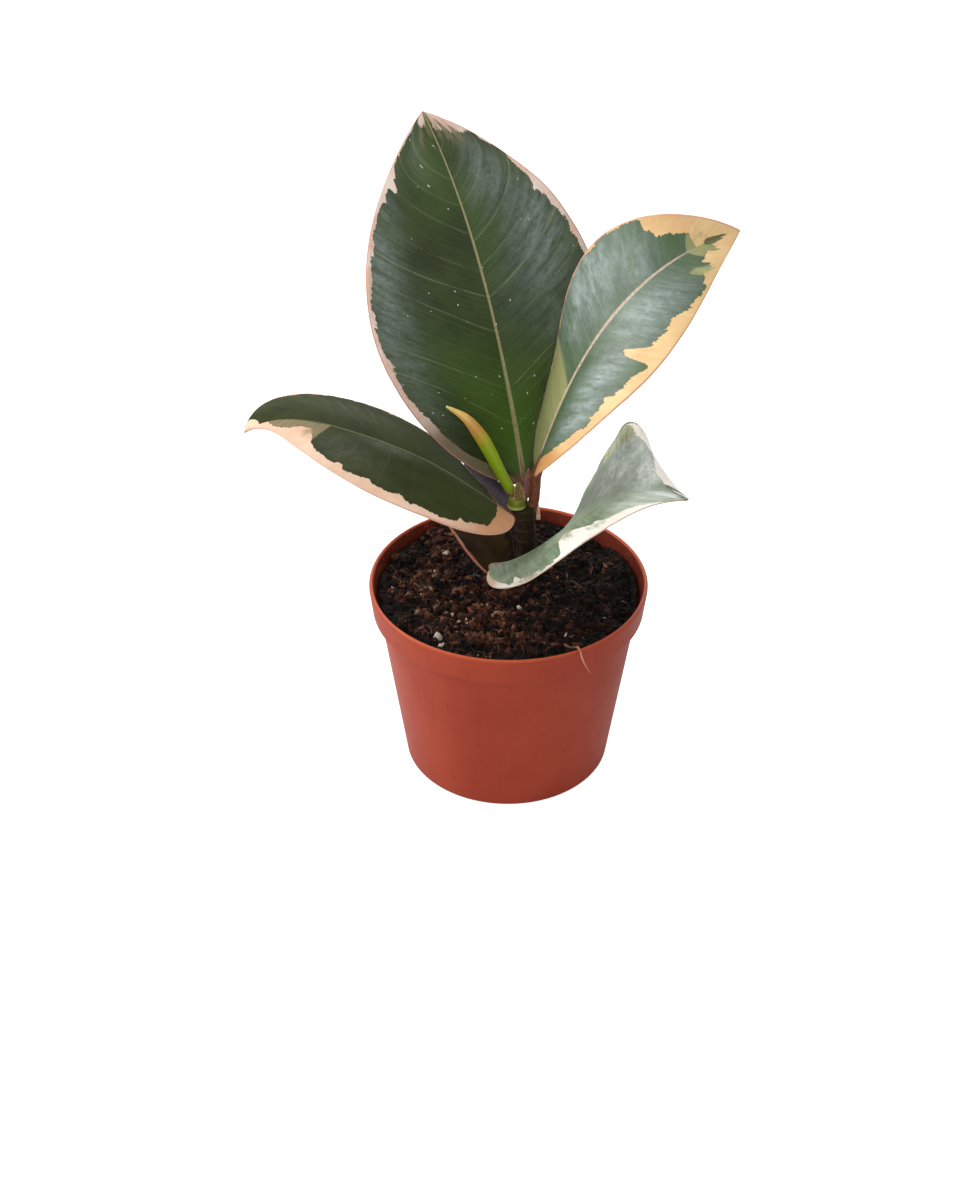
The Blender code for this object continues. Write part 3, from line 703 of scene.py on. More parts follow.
leafFront = dict(
    node="leaf_front", seed=41, base=(-3.5, -5.2, 51.6), length=47.9, wideLeft=30.0, wideRight=16.1,
    heading=(-20, -9, -1, 5), climb=(24, 44, 27, -32), roll=(3, -10, -10),
    liftLeft=(-59, -55, -17, -7, -1, 10, -3), liftRight=(11, 4, 12), curlLeft=(3, 16, -11),
    curlRight=(-10, -12, -8), shapeLeft=(1.31, 0.57), shapeRight=(0.48, 0.77),
    petiole=((3.5, 1.6, 47.6), (0.4, -1.8, 48.9), (-2.5, -4.4, 50.5)), rib=0.8, slant=(0.12, 0.15),
    ripple=0.1, veinGap=2.2, wave=0.25, flutter=0.12,
    greenLeft=(*[0.97] * 20, 0.98, 0.98, 0.95, 0.8, 0.76, 0.73, 0.3, 0.14, 0.08, 0.0, -0.3),
    greenRight=(0.5, 0.5, 0.55, 0.64, 0.76, 0.86, 0.92, 0.88, 0.9, 0.95, 0.92, 0.94, 0.93, 0.88, 0.42, 0.28,
                0.36, 0.56, 0.68, 0.74, 0.74, 0.78, 0.86, *[0.97] * 4, 0.95, 0.8, 0.3, -0.3),
    nicks=(("Right", 0.09, 0.08, 0.015), ("Right", 0.24, 0.05, 0.01), ("Right", 0.52, 0.1, 0.012)),
    patches=(("Left", 0.58, 1.0, 0.15, 0.15, 1.0), ("Left", 0.67, 0.88, 0.06, 0.12, 0.8)),
    # the first mark, a dark band along the left margin, is painted shade where the blade curls away
    marks=(("Left", 0.58, 1.02, 0.22, 0.05, 1.0), ("Right", 0.935, 0.15, 0.018, 0.18, 1.0),
           ("Right", 0.9, 0.42, 0.018, 0.18, 1.0), ("Right", 0.865, 0.68, 0.018, 0.18, 1.0),
           ("Right", 0.83, 0.95, 0.02, 0.18, 1.0), ("Left", 0.93, 0.12, 0.05, 0.05, 1.0)),
    haze=(("Right", 0.4, 0.3, 0.045, 0.3, 0.62), ("Left", 0.2, 0.7, 0.05, 0.5, 0.5),
          ("Right", 0.15, 0.95, 0.1, 0.1, 0.6), ("Right", 0.5, 0.7, 0.04, 0.2, 0.5)),
    glow=(("Both", 0.5, 0.0, 0.1, 0.4, 0.6),),
    paintedSheen=(("Left", 0.64, 0.52, 0.18, 0.44, 1.0), ("Left", 0.8, 0.3, 0.09, 0.3, 1.0),
           ("Right", 0.82, 0.4, 0.1, 0.6, 1.0), ("Right", 0.62, 0.85, 0.1, 0.16, 1.0),
           ("Right", 0.66, 0.5, 0.08, 0.3, 0.6), ("Left", 0.1, 0.5, 0.1, 0.4, 0.5)),
    look=dict(deep="#5b6c4f", green="#8c9c80", bloom="#b4c2b2", bloomShare=0.5, glow="#758f5e",
              gloss="#f2f8f6", vein="#a8b5a4", veinSteps=2.2, veinShare=0.25, patch="#b6ba96",
              patchDark="#626a3c", patchStreaks=0.75, cream="#fbf8f0", creamDeep="#f2e8de", blush="#dcb3a2",
              warm="#d8b79a", warmEnd=6.0, fringe="#8b8f5c", ragged=1.3, haze="#94997e", rim="#d9bca8",
              rimWide=0.3, mark="#464d26", foot="#8b7a5a", footEnd=1.6, footShare=0.4, rib="#a9b494",
              ribDark="#93a27e", ribEnd=0.9, stalk="#8c7a5a", stalkDark="#6d5a44", under="#98a684",
              specks=0.02, rough=0.42, shine=0.4))
# leafLow lies in the shadow of leafLeft: its colours are painted near black as painted shade, and its mark
# darkens the right margin further as painted shade
leafLow = dict(
    node="leaf_low", seed=53, base=(-1.1, -1.3, 45.9), length=40.0, wideLeft=5.6, wideRight=8.0,
    heading=(123, 122, 122), climb=(28, 21, 7), roll=(-1, 2, 0), liftLeft=(10, 14, 5),
    liftRight=(12, 10, 6), curlLeft=(0, -6, -6), curlRight=(0, -6, -6), shapeLeft=(0.46, 0.77),
    shapeRight=(0.55, 0.75), petiole=((3.4, 1.8, 44.6), (1.2, 0.2, 44.9)), rib=0.7, slant=(0.12, 0.12),
    ripple=0.08, veinGap=2.0, wave=0.12, flutter=0.1,
    greenLeft=(*[0.9] * 7, 0.88, 0.86, 0.6, -0.3),
    greenRight=(*[0.97] * 8, 0.95, 0.7, -0.3),
    marks=(("Right", 0.4, 1.0, 0.7, 0.25, 1.0),),
    paintedSheen=(("Right", 0.5, 0.5, 0.3, 0.3, 0.2),),
    nicks=(), patches=(), haze=(), glow=(),
    look=dict(deep="#20150a", green="#3a2810", bloom="#33250f", bloomShare=0.3, glow="#4a4a2a",
              gloss="#4f4536", vein="#3c3420", veinSteps=2.4, veinShare=0.2, patch="#6a6a4a",
              patchDark="#4c4c34", patchStreaks=0.5, cream="#c79a80", creamDeep="#b28068", blush="#9c6252",
              warm="#a8604c", warmEnd=12.0, fringe="#4a3a22", ragged=0.3, haze="#4c4c34", rim="#b5705f",
              rimWide=0.3, mark="#150f07", foot="#4d342a", footEnd=3.0, footShare=0.5, rib="#33290f",
              ribDark="#2a220f", ribEnd=0.6, stalk="#5a3a2a", stalkDark="#3f2a20", under="#4f4a34",
              specks=0.0, rough=0.5, shine=0.05))


def makeLeaf(name, leaf):
    materials = [bladeMaterial(name + "Skin", leaf["look"]), stalkMaterial(name + "Stalk", leaf["look"])]
    buildPiece(name, [blade(leaf), ribTube(leaf)], materials, leaf["node"])


pot = dict(
    rim=30.0, height=45.0, foot=22.6, bandHeight=6.6, bandFoot=29.3, bodyTop=27.9, wall=1.0, floor=1.2,
    lipDrop=0.45, middle=1.2, innerEasing=0.5, outerEasing=0.32, outOfRound=(0.10, 0.04), around=288,
    rings=120, drainHoles=6, drainCircle=14.0, drainRadius=2.0,
    look=dict(clay="#9f3a24", worn="#ab432b", shade="#822a18", dustAndShade="#43190f", lip="#d06a42"))


def makePotMaterial():
    # smooth moulded plastic: slow tone changes, faint upright flow marks, soil dust and painted shade, most
    # of it inside, and a painted highlight on the lip
    look = pot["look"]
    material, tree = startMaterial("pottedPlastic")
    where = onObject(tree)
    grain, tone = grainAt(tree, 900.0)
    flow = noise(where * (420.0, 420.0, 26.0), 1.0, 3.0, 0.6)
    # darker in a few blots outside and over most of the inner wall: soil dust, and inside the pot painted
    # shade
    dustAndShadeShare = stepUp(attribute(tree, "inside") * 0.33 + noise(where, 520.0, 4.0, 0.65), 0.62, 0.82)
    base = layered(
        look["clay"],
        (stepUp(noise(where, 42.0, 3.0, 0.5), 0.3, 0.72), look["worn"]),
        (stepUp(flow, 0.45, 0.8) * 0.16, look["shade"]),
        (dustAndShadeShare * 0.72, look["dustAndShade"]),
        # a paler orange band round the top of the lip: painted highlight
        (stepUp(axes(where)[2], 0.0444, 0.0450) * 0.5, look["lip"]))
    rough = dustAndShadeShare * 0.3 + (tone * 0.14 + 0.34)
    return finishMaterial(material, base, rough, flow * 0.5 + grain * 0.6, 0.25, 0.0001, shine=0.2)


def drainCutter(turn):
    # a short upright cylinder on the drain circle
    bm = bmesh.new()
    radius, circle = pot["drainRadius"] * mm, pot["drainCircle"] * mm
    bmesh.ops.create_cone(bm, cap_ends=True, segments=32, radius1=radius, radius2=radius, depth=6 * mm)
    bmesh.ops.translate(bm, verts=bm.verts, vec=(circle * cos(turn), circle * sin(turn), 0.0))
    mesh = bpy.data.meshes.new("drain")
    bm.to_mesh(mesh)
    bm.free()
    cutter = bpy.data.objects.new("drain", mesh)
    scene.collection.objects.link(cutter)
    return cutter


def makePot():
    # one wall profile, inside and out, with its corners eased, carried round the axis
    r, h, wall, band = pot["rim"], pot["height"], pot["wall"], pot["height"] - pot["bandHeight"]
    lip, middle = h - pot["lipDrop"], pot["middle"]
    inner = rounded([(middle, pot["floor"]), (pot["foot"] - wall, pot["floor"]),
                     (pot["bodyTop"] - wall, band - 0.5), (pot["bandFoot"] - wall, band + wall),
                     (r - wall, lip), (r - wall / 2, h)], pot["innerEasing"])
    outer = rounded([(r - wall / 2, h), (r, lip), (pot["bandFoot"], band), (pot["bodyTop"], band),
                     (pot["foot"], 0.6), (pot["foot"] - 0.5, 0.0), (middle, 0.0)], pot["outerEasing"])
    profile = np.vstack([inner, outer[1:]])
    stations = np.concatenate([[0], np.cumsum(np.hypot(*np.diff(profile, axis=0).T))])
    fine = np.unique(np.concatenate([stations, np.linspace(0, stations[-1], pot["rings"])]))
    profile = np.stack([np.interp(fine, stations, profile[:, k]) for k in (0, 1)], 1)

    def uneven(height, turn):   # the thin wall is a touch out of round
        oval, wavy = pot["outOfRound"]
        return oval * np.sin(2 * turn + 0.7) * height / h + wavy * np.sin(5 * turn + 2.0) * height / h

    isInside = (fine < stations[len(inner) - 1] - 0.6).astype(float)[:, None]
    shell = valued(lathe(profile, pot["around"], uneven), inside=isInside)
    piece = buildPiece("potShell", [shell], [makePotMaterial()], "pot")
    cutters = [drainCutter(turn) for turn in turnsOf(pot["drainHoles"])]
    for cutter in cutters:
        modifier = piece.modifiers.new("drain", "BOOLEAN")
        modifier.object, modifier.operation, modifier.solver = cutter, "DIFFERENCE", "EXACT"
    drilled = bpy.data.meshes.new_from_object(piece.evaluated_get(bpy.context.evaluated_depsgraph_get()))
    piece.modifiers.clear()
    piece.data = drilled
    drilled.name = "potShell"
    for cutter in cutters:
        bpy.data.objects.remove(cutter, do_unlink=True)


# a wave is height, turns along x and y, and start; a dry patch is amount, middle and spread along x and y;
# a white grain is x, y and size
soil = dict(
    level=42.2, tilt=0.5, edge=27.9, around=400, rings=130, sink=0.55, rugged=0.75, ruggedSize=2.9,
    clodSize=2.1, clodHeight=0.38, pebbleSize=0.95, pebbleHeight=0.42,
    waveSpan=30, waves=((0.55, 5.1, 1.7, 0.6), (0.4, -2.2, 6.3, pi / 2), (0.25, 11.0, -8.0, 1.1)),
    dryLeast=0.1, dryPatches=((1.25, -8, -8, 12, 12), (0.3, 3, -16, 5, 4), (0.6, -20, 10, 10, 13)),
    dryNoise=0.32, dryNoiseSize=4.5,
    crumbs=dict(count=4200, margin=0.7, least=0.12, spread=0.62, rarity=3),
    chips=dict(count=170, margin=2.0, least=0.45, spread=0.5, rarity=2),
    fibres=dict(count=420, margin=3.5),
    grains=((-13.6, 14.2, 0.75), (-15.1, -16.7, 1.2), (-14.2, -19.3, 0.8), (11.9, -16.4, 0.55),
            (2.2, -6.6, 0.5), (-19.0, 8.0, 0.35), (-6.5, -21.0, 0.35), (20.4, -9.0, 0.3),
            (-9.0, -11.0, 0.3), (-25.0, 0.5, 0.4)),
    look=dict(black="#050302", brown="#1c0f0a", red="#5a3020", tan="#96694a", pale="#c4a888",
              grainDark="#8d7a64", grainPale="#e2dccd"))


def soilHeight(x, y):
    # gentle waves that the whole bed has, higher at the back
    a, b = x / soil["waveSpan"], y / soil["waveSpan"]
    waves = sum(height * np.sin(p * a + q * b + start) for height, p, q, start in soil["waves"])
    return soil["level"] + waves + soil["tilt"] * b


def soilSurface(x, y):
    # the bed plus rugged noise and two sizes of pebble
    rough = rugged(x / soil["ruggedSize"] + 20, y / soil["ruggedSize"] + 20, 5, 5)
    clods = pebbles(x + 60, y + 60, soil["clodSize"], 8)
    clods = clods * (0.8 + 0.6 * lattice(x * 1.7 + 30, y * 1.7 + 30, 12))
    small = pebbles(x + 60, y + 60, soil["pebbleSize"], 9)
    shape = soilHeight(x, y) - soil["sink"] + soil["rugged"] * rough
    return shape + soil["clodHeight"] * clods + soil["pebbleHeight"] * small


def dryness(x, y):
    # how dry and brown the peat is, 0 to 1: patches of it on top of rugged noise
    patch = sum(amount * np.exp(-((x - middleX) / spreadX) ** 2 - ((y - middleY) / spreadY) ** 2)
                for amount, middleX, middleY, spreadX, spreadY in soil["dryPatches"])
    patchy = rugged(x / soil["dryNoiseSize"] + 31, y / soil["dryNoiseSize"] + 31, 33, 4)
    return np.clip(soil["dryLeast"] + patch + soil["dryNoise"] * patchy, 0.02, 1)


def makeSoilMaterial():
    # dark peat, black and brown by noise; the tint, broken up by noise, turns it reddish, then tan, then pale
    look = soil["look"]
    material, tree = startMaterial("peat")
    where = onObject(tree)
    grain, tone = grainAt(tree, 2200.0)
    mix = noise(where, 420.0, 5.0, 0.7)
    tint = attribute(tree, "tint") * (stepUp(mix, 0.36, 0.62) * 0.9 + 0.35)
    flecks = useGroup(tree, specks, "Mask", Where=where, Scale=900.0, Size=0.2, Share=0.03)
    base = layered(
        look["black"],
        (stepUp(mix, 0.38, 0.66), look["brown"]),
        (stepUp(tint, 0.08, 0.42) * 0.8, look["red"]),
        (stepUp(tint, 0.42, 0.85) * 0.8, look["tan"]),
        (stepUp(tint, 0.86, 1.0), look["pale"]),
        (flecks * 0.6, look["tan"]))
    rough = maths("ADD", tone * -0.5, 1.1, clamp=True)
    return finishMaterial(material, base, rough, grain, 1.0, 0.0006, shine=0.2)


def makeGrainMaterial():
    material, tree = startMaterial("whiteGrain")
    grain, tone = grainAt(tree, 3000.0)
    base = over(soil["look"]["grainDark"], stepUp(grain, 0.35, 0.6), soil["look"]["grainPale"])
    return finishMaterial(material, base, tone * 0.2 + 0.7, grain, 0.8, 0.0003)


def turnMatrices(angles, first, second):
    # one 3 x 3 turn per angle, from the first axis towards the second
    turns = np.zeros((len(angles), 3, 3)) + np.eye(3)
    turns[:, first, first] = turns[:, second, second] = np.cos(angles)
    turns[:, first, second], turns[:, second, first] = -np.sin(angles), np.sin(angles)
    return turns


def lumpShapes(draw, centres, sizes, stretch):
    # corners of an icosahedron pushed in or out at random, stretched, tipped and spun at random
    far = (1 + 5 ** 0.5) / 2
    flat = [(-1, far), (1, far), (-1, -far), (1, -far)]
    corners = [(a, b, 0) for a, b in flat] + [(0, a, b) for a, b in flat] + [(b, 0, a) for a, b in flat]
    corners = unit(np.array(corners, float))
    faces = np.array([(0, 11, 5), (0, 5, 1), (0, 1, 7), (0, 7, 10), (0, 10, 11), (1, 5, 9), (5, 11, 4),
                      (11, 10, 2), (10, 7, 6), (7, 1, 8), (3, 9, 4), (3, 4, 2), (3, 2, 6), (3, 6, 8),
                      (3, 8, 9), (4, 9, 5), (2, 4, 11), (6, 2, 10), (8, 6, 7), (9, 8, 1)])
    count = len(centres)
    shape = corners[None] * (0.45 + 1.1 * draw.random((count, 12, 1)) ** 1.4) * stretch[:, None]
    spin, tip, _ = draw.random((3, count)) * 2 * pi
    tip = (tip - pi) * 0.25
    shape = np.einsum("nij,njk,nvk->nvi", turnMatrices(spin, 0, 1), turnMatrices(tip, 1, 2), shape)
    shape = shape * sizes[:, None, None] + centres[:, None]
    index = (np.arange(count) * 12)[:, None, None] + faces[None]
    return shape.reshape(-1, 3), index.reshape(-1, 3)


def layLumps(name, draw, x, y, size, lift, stretch, tintOf, material, isSmooth=False):
    # lumps on the soil, each raised by a share of its size and given one tint
    centres = np.stack([x, y, soilSurface(x, y) + lift * size], -1)
    points, faces = lumpShapes(draw, centres, size, stretch)
    mesh = bpy.data.meshes.new(name)
    mesh.from_pydata((points * mm).tolist(), [], faces.tolist())
    tint = np.repeat(tintOf(len(x)), 12).astype(np.float32)
    mesh.attributes.new("tint", "FLOAT", "POINT").data.foreach_set("value", tint)
    mesh.polygons.foreach_set("use_smooth", np.full(len(faces), isSmooth))
    placePiece(name, mesh, [material])


def scatter(draw, count, reach):
    # points spread evenly over a disc
    radius, turn = reach * np.sqrt(draw.random(count)), 2 * pi * draw.random(count)
    return radius * np.cos(turn), radius * np.sin(turn)


def scatterSized(draw, kind):
    # places inside the bed's edge, and sizes of which large ones are rare
    x, y = scatter(draw, kind["count"], soil["edge"] - kind["margin"])
    return x, y, kind["least"] + kind["spread"] * draw.random(len(x)) ** kind["rarity"]


def makeBed(peat):
    # rings out to the pot's wall, then down inside it to the floor
    edge, band, turn = soil["edge"], pot["height"] - pot["bandHeight"], turnsOf(soil["around"])
    rings = edge * np.linspace(0.004, 1, soil["rings"]) ** 0.9
    x, y = rings[:, None] * np.cos(turn), rings[:, None] * np.sin(turn)
    z = soilSurface(x, y)
    # the tint drops to nothing in the hollows between lumps, leaving them black: painted shade; dry patches
    # raise it elsewhere
    tint = 0.72 * dryness(x, y) * smoothly(z - soilHeight(x, y), -0.5, 0.9)
    low = np.array([(edge, band + 1.5), (pot["bodyTop"] - 1.4, band - 0.5), (pot["foot"] - 1.3, 1.5),
                    (1.0, 1.5)])
    radius, depth = low[:, :1], np.repeat(low[:, 1:], len(turn), 1)
    skirt = np.stack([radius * np.cos(turn), radius * np.sin(turn), depth], -1)
    bed = dict(points=np.vstack([np.stack([x, y, z], -1), skirt]))
    buildPiece("soilBed", [valued(bed, tint=np.vstack([tint, 0 * depth]))], [peat], "soil")


def makeSoil():
    # crumbs, flat chips, white grains and fibres lie on the bed
    peat = makeSoilMaterial()
    draw = np.random.default_rng(77)
    makeBed(peat)
    x, y, size = scatterSized(draw, soil["crumbs"])
    stretch = 1 + draw.random((len(x), 3)) * np.array([0.9, 0.2, 0.1])
    layLumps("soilCrumbs", draw, x, y, size, 0.25, stretch,
             lambda count: (0.15 + 0.85 * dryness(x, y)) * draw.random(count) ** 1.3, peat)
    x, y, size = scatterSized(draw, soil["chips"])
    longer, wider = 1.6 + 1.2 * draw.random(len(x)), 0.55 + 0.3 * draw.random(len(x))
    stretch = np.stack([longer, wider, np.full(len(x), 0.3)], -1)
    layLumps("barkChips", draw, x, y, size, 0.3, stretch,
             lambda count: 0.1 + 0.55 * draw.random(count) ** 1.5, peat)
    x, y, size = np.array(soil["grains"]).T
    layLumps("whiteGrains", draw, x, y, size, 0.35, np.ones((len(x), 3)), np.ones, makeGrainMaterial(), True)
    makeFibres(draw, peat)


def makeFibres(draw, peat):
    # thin bent threads: a short arc across the bed that rises a little in its middle or at one end
    surfaces = []
    for _ in range(soil["fibres"]["count"]):
        middleX, middleY = (float(c[0]) for c in scatter(draw, 1, soil["edge"] - soil["fibres"]["margin"]))
        turn, length = draw.random() * 2 * pi, 1.5 + 4.5 * draw.random() ** 2
        bend, rise = (draw.random() - 0.5) * 1.6, 0.1 + 1.3 * draw.random() ** 4
        t = np.linspace(-1, 1, 7)
        off = bend * (t * t - 0.4)
        x = middleX + length / 2 * (t * cos(turn) - off * sin(turn))
        y = middleY + length / 2 * (t * sin(turn) + off * cos(turn))
        inside = np.minimum(1, (soil["edge"] - 0.8) / np.maximum(np.hypot(x, y), 1e-6))
        x, y = x * inside, y * inside
        lifted = 0.6 * rise * (t + 1) if draw.random() < 0.4 else 0
        z = soilSurface(x, y) + 0.12 + rise * (1 - t * t) + lifted
        radius = (0.035 + 0.05 * draw.random() ** 2) * (1 - 0.6 * np.abs(t) ** 3)
        thread = tube(np.stack([x, y, z], -1), radius, 4)
        surfaces.append(valued(thread, tint=0.3 + 0.7 * draw.random() ** 1.5))
    buildPiece("soilFibres", surfaces, [peat])


stem = dict(
    foot=(4.0, 2.2, 35.5), top=(3.0, 2.0, 62.2), bow=0.5, radius=2.15, footSwell=0.12, topSwell=0.3,
    scars=(0.56, 0.70, 0.80, 0.91), scarHeight=0.16, scarWidth=0.012, rings=220, around=72,
    look=dict(bark="#2e1c0c", dark="#150d06", green="#2b2810", scar="#3f2d18"))


def makeStemMaterial():
    # upright fissures, greener near the top, with paler scar rings
    look = stem["look"]
    material, tree = startMaterial("youngBark")
    where = onObject(tree)
    grain, tone = grainAt(tree, 1100.0)
    fissures = noise(where * (2300.0, 2300.0, 330.0), 1.0, 4.0, 0.6)
    base = layered(
        look["dark"],
        (stepUp(fissures, 0.35, 0.65), look["bark"]),
        (stepUp(tone * 0.006 + axes(where)[2], 0.0605, 0.0655) * 0.85, look["green"]),
        (stepUp(grain * 0.8 + attribute(tree, "scar"), 0.95, 1.3) * 0.45, look["scar"]))
    return finishMaterial(material, base, fissures * 0.25 + 0.5, fissures + grain, 0.7, 0.0003, shine=0.2)


def makeStem():
    # straight line from foot to top with a slight bow; scars stand out as low rings
    t = np.linspace(0, 1, stem["rings"])
    foot, top = np.array(stem["foot"]), np.array(stem["top"])
    path = foot + (top - foot) * t[:, None] + np.array([stem["bow"], 0, 0]) * np.sin(pi * t)[:, None]
    rings = sum(np.exp(-((t - place) / stem["scarWidth"]) ** 2) for place in stem["scars"])
    radii = stem["radius"] + stem["scarHeight"] * rings + stem["topSwell"] * smoothly(t, 0.9, 1.0)
    radii = radii + stem["footSwell"] * smoothly(-t, -0.4, -0.2)
    radii = radii * np.sqrt(1 - smoothly(t, 0.985, 1.0) * 0.6)

    def bark(s, turn):   # shallow upright ridges
        return 0.025 * lattice(turn * 4, s * 9 + 3, 4) + 0.02 * lattice(turn * 9, s * 30 + 3, 6)

    body = valued(tube(path, radii, stem["around"], (0, 1, 0), bark), scar=rings[:, None])
    buildPiece("stemBark", [body], [makeStemMaterial()], "stem")


bud = dict(
    centre=(1.6, 1.3), easing=0.35, around=64, dents=3, dent=0.05, dented=(63, 65),
    profile=((0.15, 65.6), (0.7, 65.6), (1.25, 65.3), (1.7, 64.6), (1.88, 63.9), (1.8, 63.2), (1.98, 62.95),
             (1.98, 62.6), (1.75, 62.5), (0.15, 62.5)),
    look=dict(green="#7a8618", deep="#4c550a", ring="#a9ac6a", top="#8a7a34"))


def makeBudMaterial():
    # two greens, a pale ring at the foot and a brown crown
    look = bud["look"]
    material, tree = startMaterial("budGreen")
    grain, tone = grainAt(tree, 1300.0)
    height = axes(onObject(tree))[2]
    base = layered(
        look["deep"],
        (stepUp(tone, 0.35, 0.65), look["green"]),
        (stepUp(grain * 0.0004 + height, 0.0634, 0.0631) * 0.8, look["ring"]),
        (stepUp(tone * 0.0012 + height, 0.0650, 0.0658) * 0.75, look["top"]))
    return finishMaterial(material, base, tone * 0.2 + 0.28, grain, 0.4, 0.0002)


def makeBud():
    # the eased profile carried round, dented a little on three sides towards its top
    def dents(height, turn):
        return bud["dent"] * np.sin(bud["dents"] * turn + 1.0) * smoothly(height, *bud["dented"])

    body = lathe(rounded(bud["profile"], bud["easing"], 6), bud["around"], dents)
    body["points"] = body["points"] + np.array([*bud["centre"], 0.0])
    buildPiece("budBase", [body], [makeBudMaterial()], "bud_base")


newLeaf = dict(
    path=((0.45, 1.3, 66.3), (-0.9, 0.9, 69.2), (-2.4, 0.6, 72.6), (-4.0, 0.5, 76.3), (-6.1, 0.6, 80.3),
          (-9.0, 0.9, 84.1), (-13.0, 1.5, 86.5)),
    radii=(1.1, 1.15, 1.25, 1.4, 1.4, 0.95, 0.25), rings=130, around=96,
    lapStart=0.6, lapTwist=0.9, lapRise=0.13, lapStep=0.10, stepWidth=0.02, seam=0.97, seamWidth=0.025,
    look=dict(stops=((0.0, "#9a7a34"), (0.10, "#93b414"), (0.56, "#93b414"), (0.66, "#bda42c"),
                     (0.74, "#cf9347"), (0.86, "#e0b35c"), (0.93, "#e0b35c"), (1.0, "#c6cf6e")),
              streak="#6f8a1c", seam="#dcd890"))


def makeNewLeafMaterial():
    # the stops follow one another from foot to tip, with faint streaks and a pale seam
    look = newLeaf["look"]
    material, tree = startMaterial("rolledLeaf")
    grain, tone = grainAt(tree, 1200.0)
    ramp = tree.nodes.new("ShaderNodeValToRGB")
    plug(tone * 0.14 + (attribute(tree, "share") - 0.07), ramp.inputs[0])
    elements = ramp.color_ramp.elements
    while len(elements) < len(look["stops"]):
        elements.new(0.5)
    for element, (place, text) in zip(elements, look["stops"]):
        element.position, element.color = place, colour(text)
    base = layered(wire(ramp.outputs["Color"]), (stepUp(grain, 0.40, 0.70) * 0.18, look["streak"]),
                   (attribute(tree, "seam") * 0.8, look["seam"]))
    return finishMaterial(material, base, tone * 0.2 + 0.26, grain, 0.3, 0.0002, coat=0.2)


def rollShare(s, turn):
    # how far round its turn of the roll a place is, 0 to 1
    return ((turn - newLeaf["lapStart"] - newLeaf["lapTwist"] * s) % (2 * pi)) / (2 * pi)


def makeNewLeaf():
    # the rolled leaf tapers along its path; one turn of the roll overlaps the next in a low step
    t = np.linspace(0, 1, newLeaf["rings"])

    def roll(s, turn):
        step = rollShare(s, turn)
        notch = np.exp(-(np.minimum(step, 1 - step) / newLeaf["stepWidth"]) ** 2)
        return newLeaf["lapRise"] * (step - 0.5) - newLeaf["lapStep"] * notch

    body = tube(along(newLeaf["path"], t), along(newLeaf["radii"], t), newLeaf["around"], (0, 1, 0), roll)
    step = rollShare(t[:, None], turnsOf(newLeaf["around"])[None])
    seam = np.exp(-((step - newLeaf["seam"]) / newLeaf["seamWidth"]) ** 2)
    body = valued(body, share=t[:, None], seam=seam)
    buildPiece("newLeafRoll", [body], [makeNewLeafMaterial()], "new_leaf")


scales = dict(
    scaleBrown=dict(node="scale_brown", slot="dry_scale", foot=(2.2, -0.35, 65.2), tip=(1.8, -0.7, 69.5),
                    wide=1.3, thick=0.25, taper=0.5, tone=("#8f7444", "#6b5028"), edge="#bdbb80"),
    scalePink=dict(node="scale_pink", slot="pink_scale", foot=(4.0, 4.4, 62.8), tip=(4.1, 5.0, 69.6),
                   wide=0.95, thick=0.3, taper=0.75, tone=("#bb7468", "#94544c"), edge="#e6c0b2"),
    scaleCream=dict(node="scale_cream", slot="cream_scale", foot=(6.25, 2.6, 58.4), tip=(6.3, 2.9, 61.9),
                    wide=0.5, thick=0.25, taper=0.75, tone=("#e6cdb4", "#cda488"), edge="#f2e4d2"),
    # scaleDark's first tone, a purple-blue, is a painted reflection on the dark flake; the second is its own
    # dark red-brown
    scaleDark=dict(node="scale_dark", slot="dark_scale", foot=(0.6, 5.2, 59.0), tip=(-9.3, 11.6, 67.6),
                   wide=3.2, thick=0.25, taper=0.45, tone=("#302a40", "#2a1518"), edge="#4a2a26"))
flakeShape = dict(rows=40, around=32, leastWide=0.06, bend=0.22, thinning=0.7, wave=0.15)


def makeScaleMaterial(name, scale):
    material, tree = startMaterial(name)
    grain, tone = grainAt(tree, 1500.0)
    base = layered(scale["tone"][0], (stepUp(grain, 0.35, 0.65), scale["tone"][1]),
                   (attribute(tree, "border") * 0.8, scale["edge"]))
    return finishMaterial(material, base, tone * 0.2 + 0.4, grain, 0.5, 0.0002)


def makeScale(name, scale):
    # a pointed flake: width falls from foot to tip, and its two long edges bend forward
    foot, tip = np.array(scale["foot"]), np.array(scale["tip"])
    s, turn = np.linspace(0, 1, flakeShape["rows"])[:, None], turnsOf(flakeShape["around"])[None]
    width = scale["wide"] * (1 - s) ** scale["taper"] * (0.85 + 0.35 * s) + flakeShape["leastWide"]
    across, out = np.cos(turn) * width, np.sin(turn) * scale["thick"] * (1 - flakeShape["thinning"] * s)
    side = unit(np.cross(unit(tip - foot), (0.0, 1.0, 0.0)))
    front = np.cross(side, unit(tip - foot))
    bend = flakeShape["bend"] * across ** 2 / scale["wide"]
    line = foot + (tip - foot) * s
    points = line[:, None] + across[..., None] * side + (out - bend)[..., None] * front
    points[..., 2] += flakeShape["wave"] * np.sin(3 * turn) * (1 - s) * s
    flake = valued(dict(points=points), border=smoothly(np.abs(np.cos(turn)), 0.8, 0.97))
    buildPiece(name, [flake], [makeScaleMaterial(name, scale)], scale["node"])


root = dict(   # it lies on the soil, climbs over the rim and hangs in front of it
    path=((11.4, -22.4, 43.7), (12.5, -24.2, 44.3), (13.4, -25.4, 45.2), (13.9, -26.2, 45.8),
          (14.4, -27.0, 45.4), (14.8, -27.4, 43.9), (15.5, -27.2, 42.0), (16.6, -26.7, 39.6)),
    radius=0.27, rings=120, around=12, knot=0.12, thinning=0.55, shade=0.75,
    look=dict(pink="#cf8570", brown="#8a5238", dark="#3a2018"))


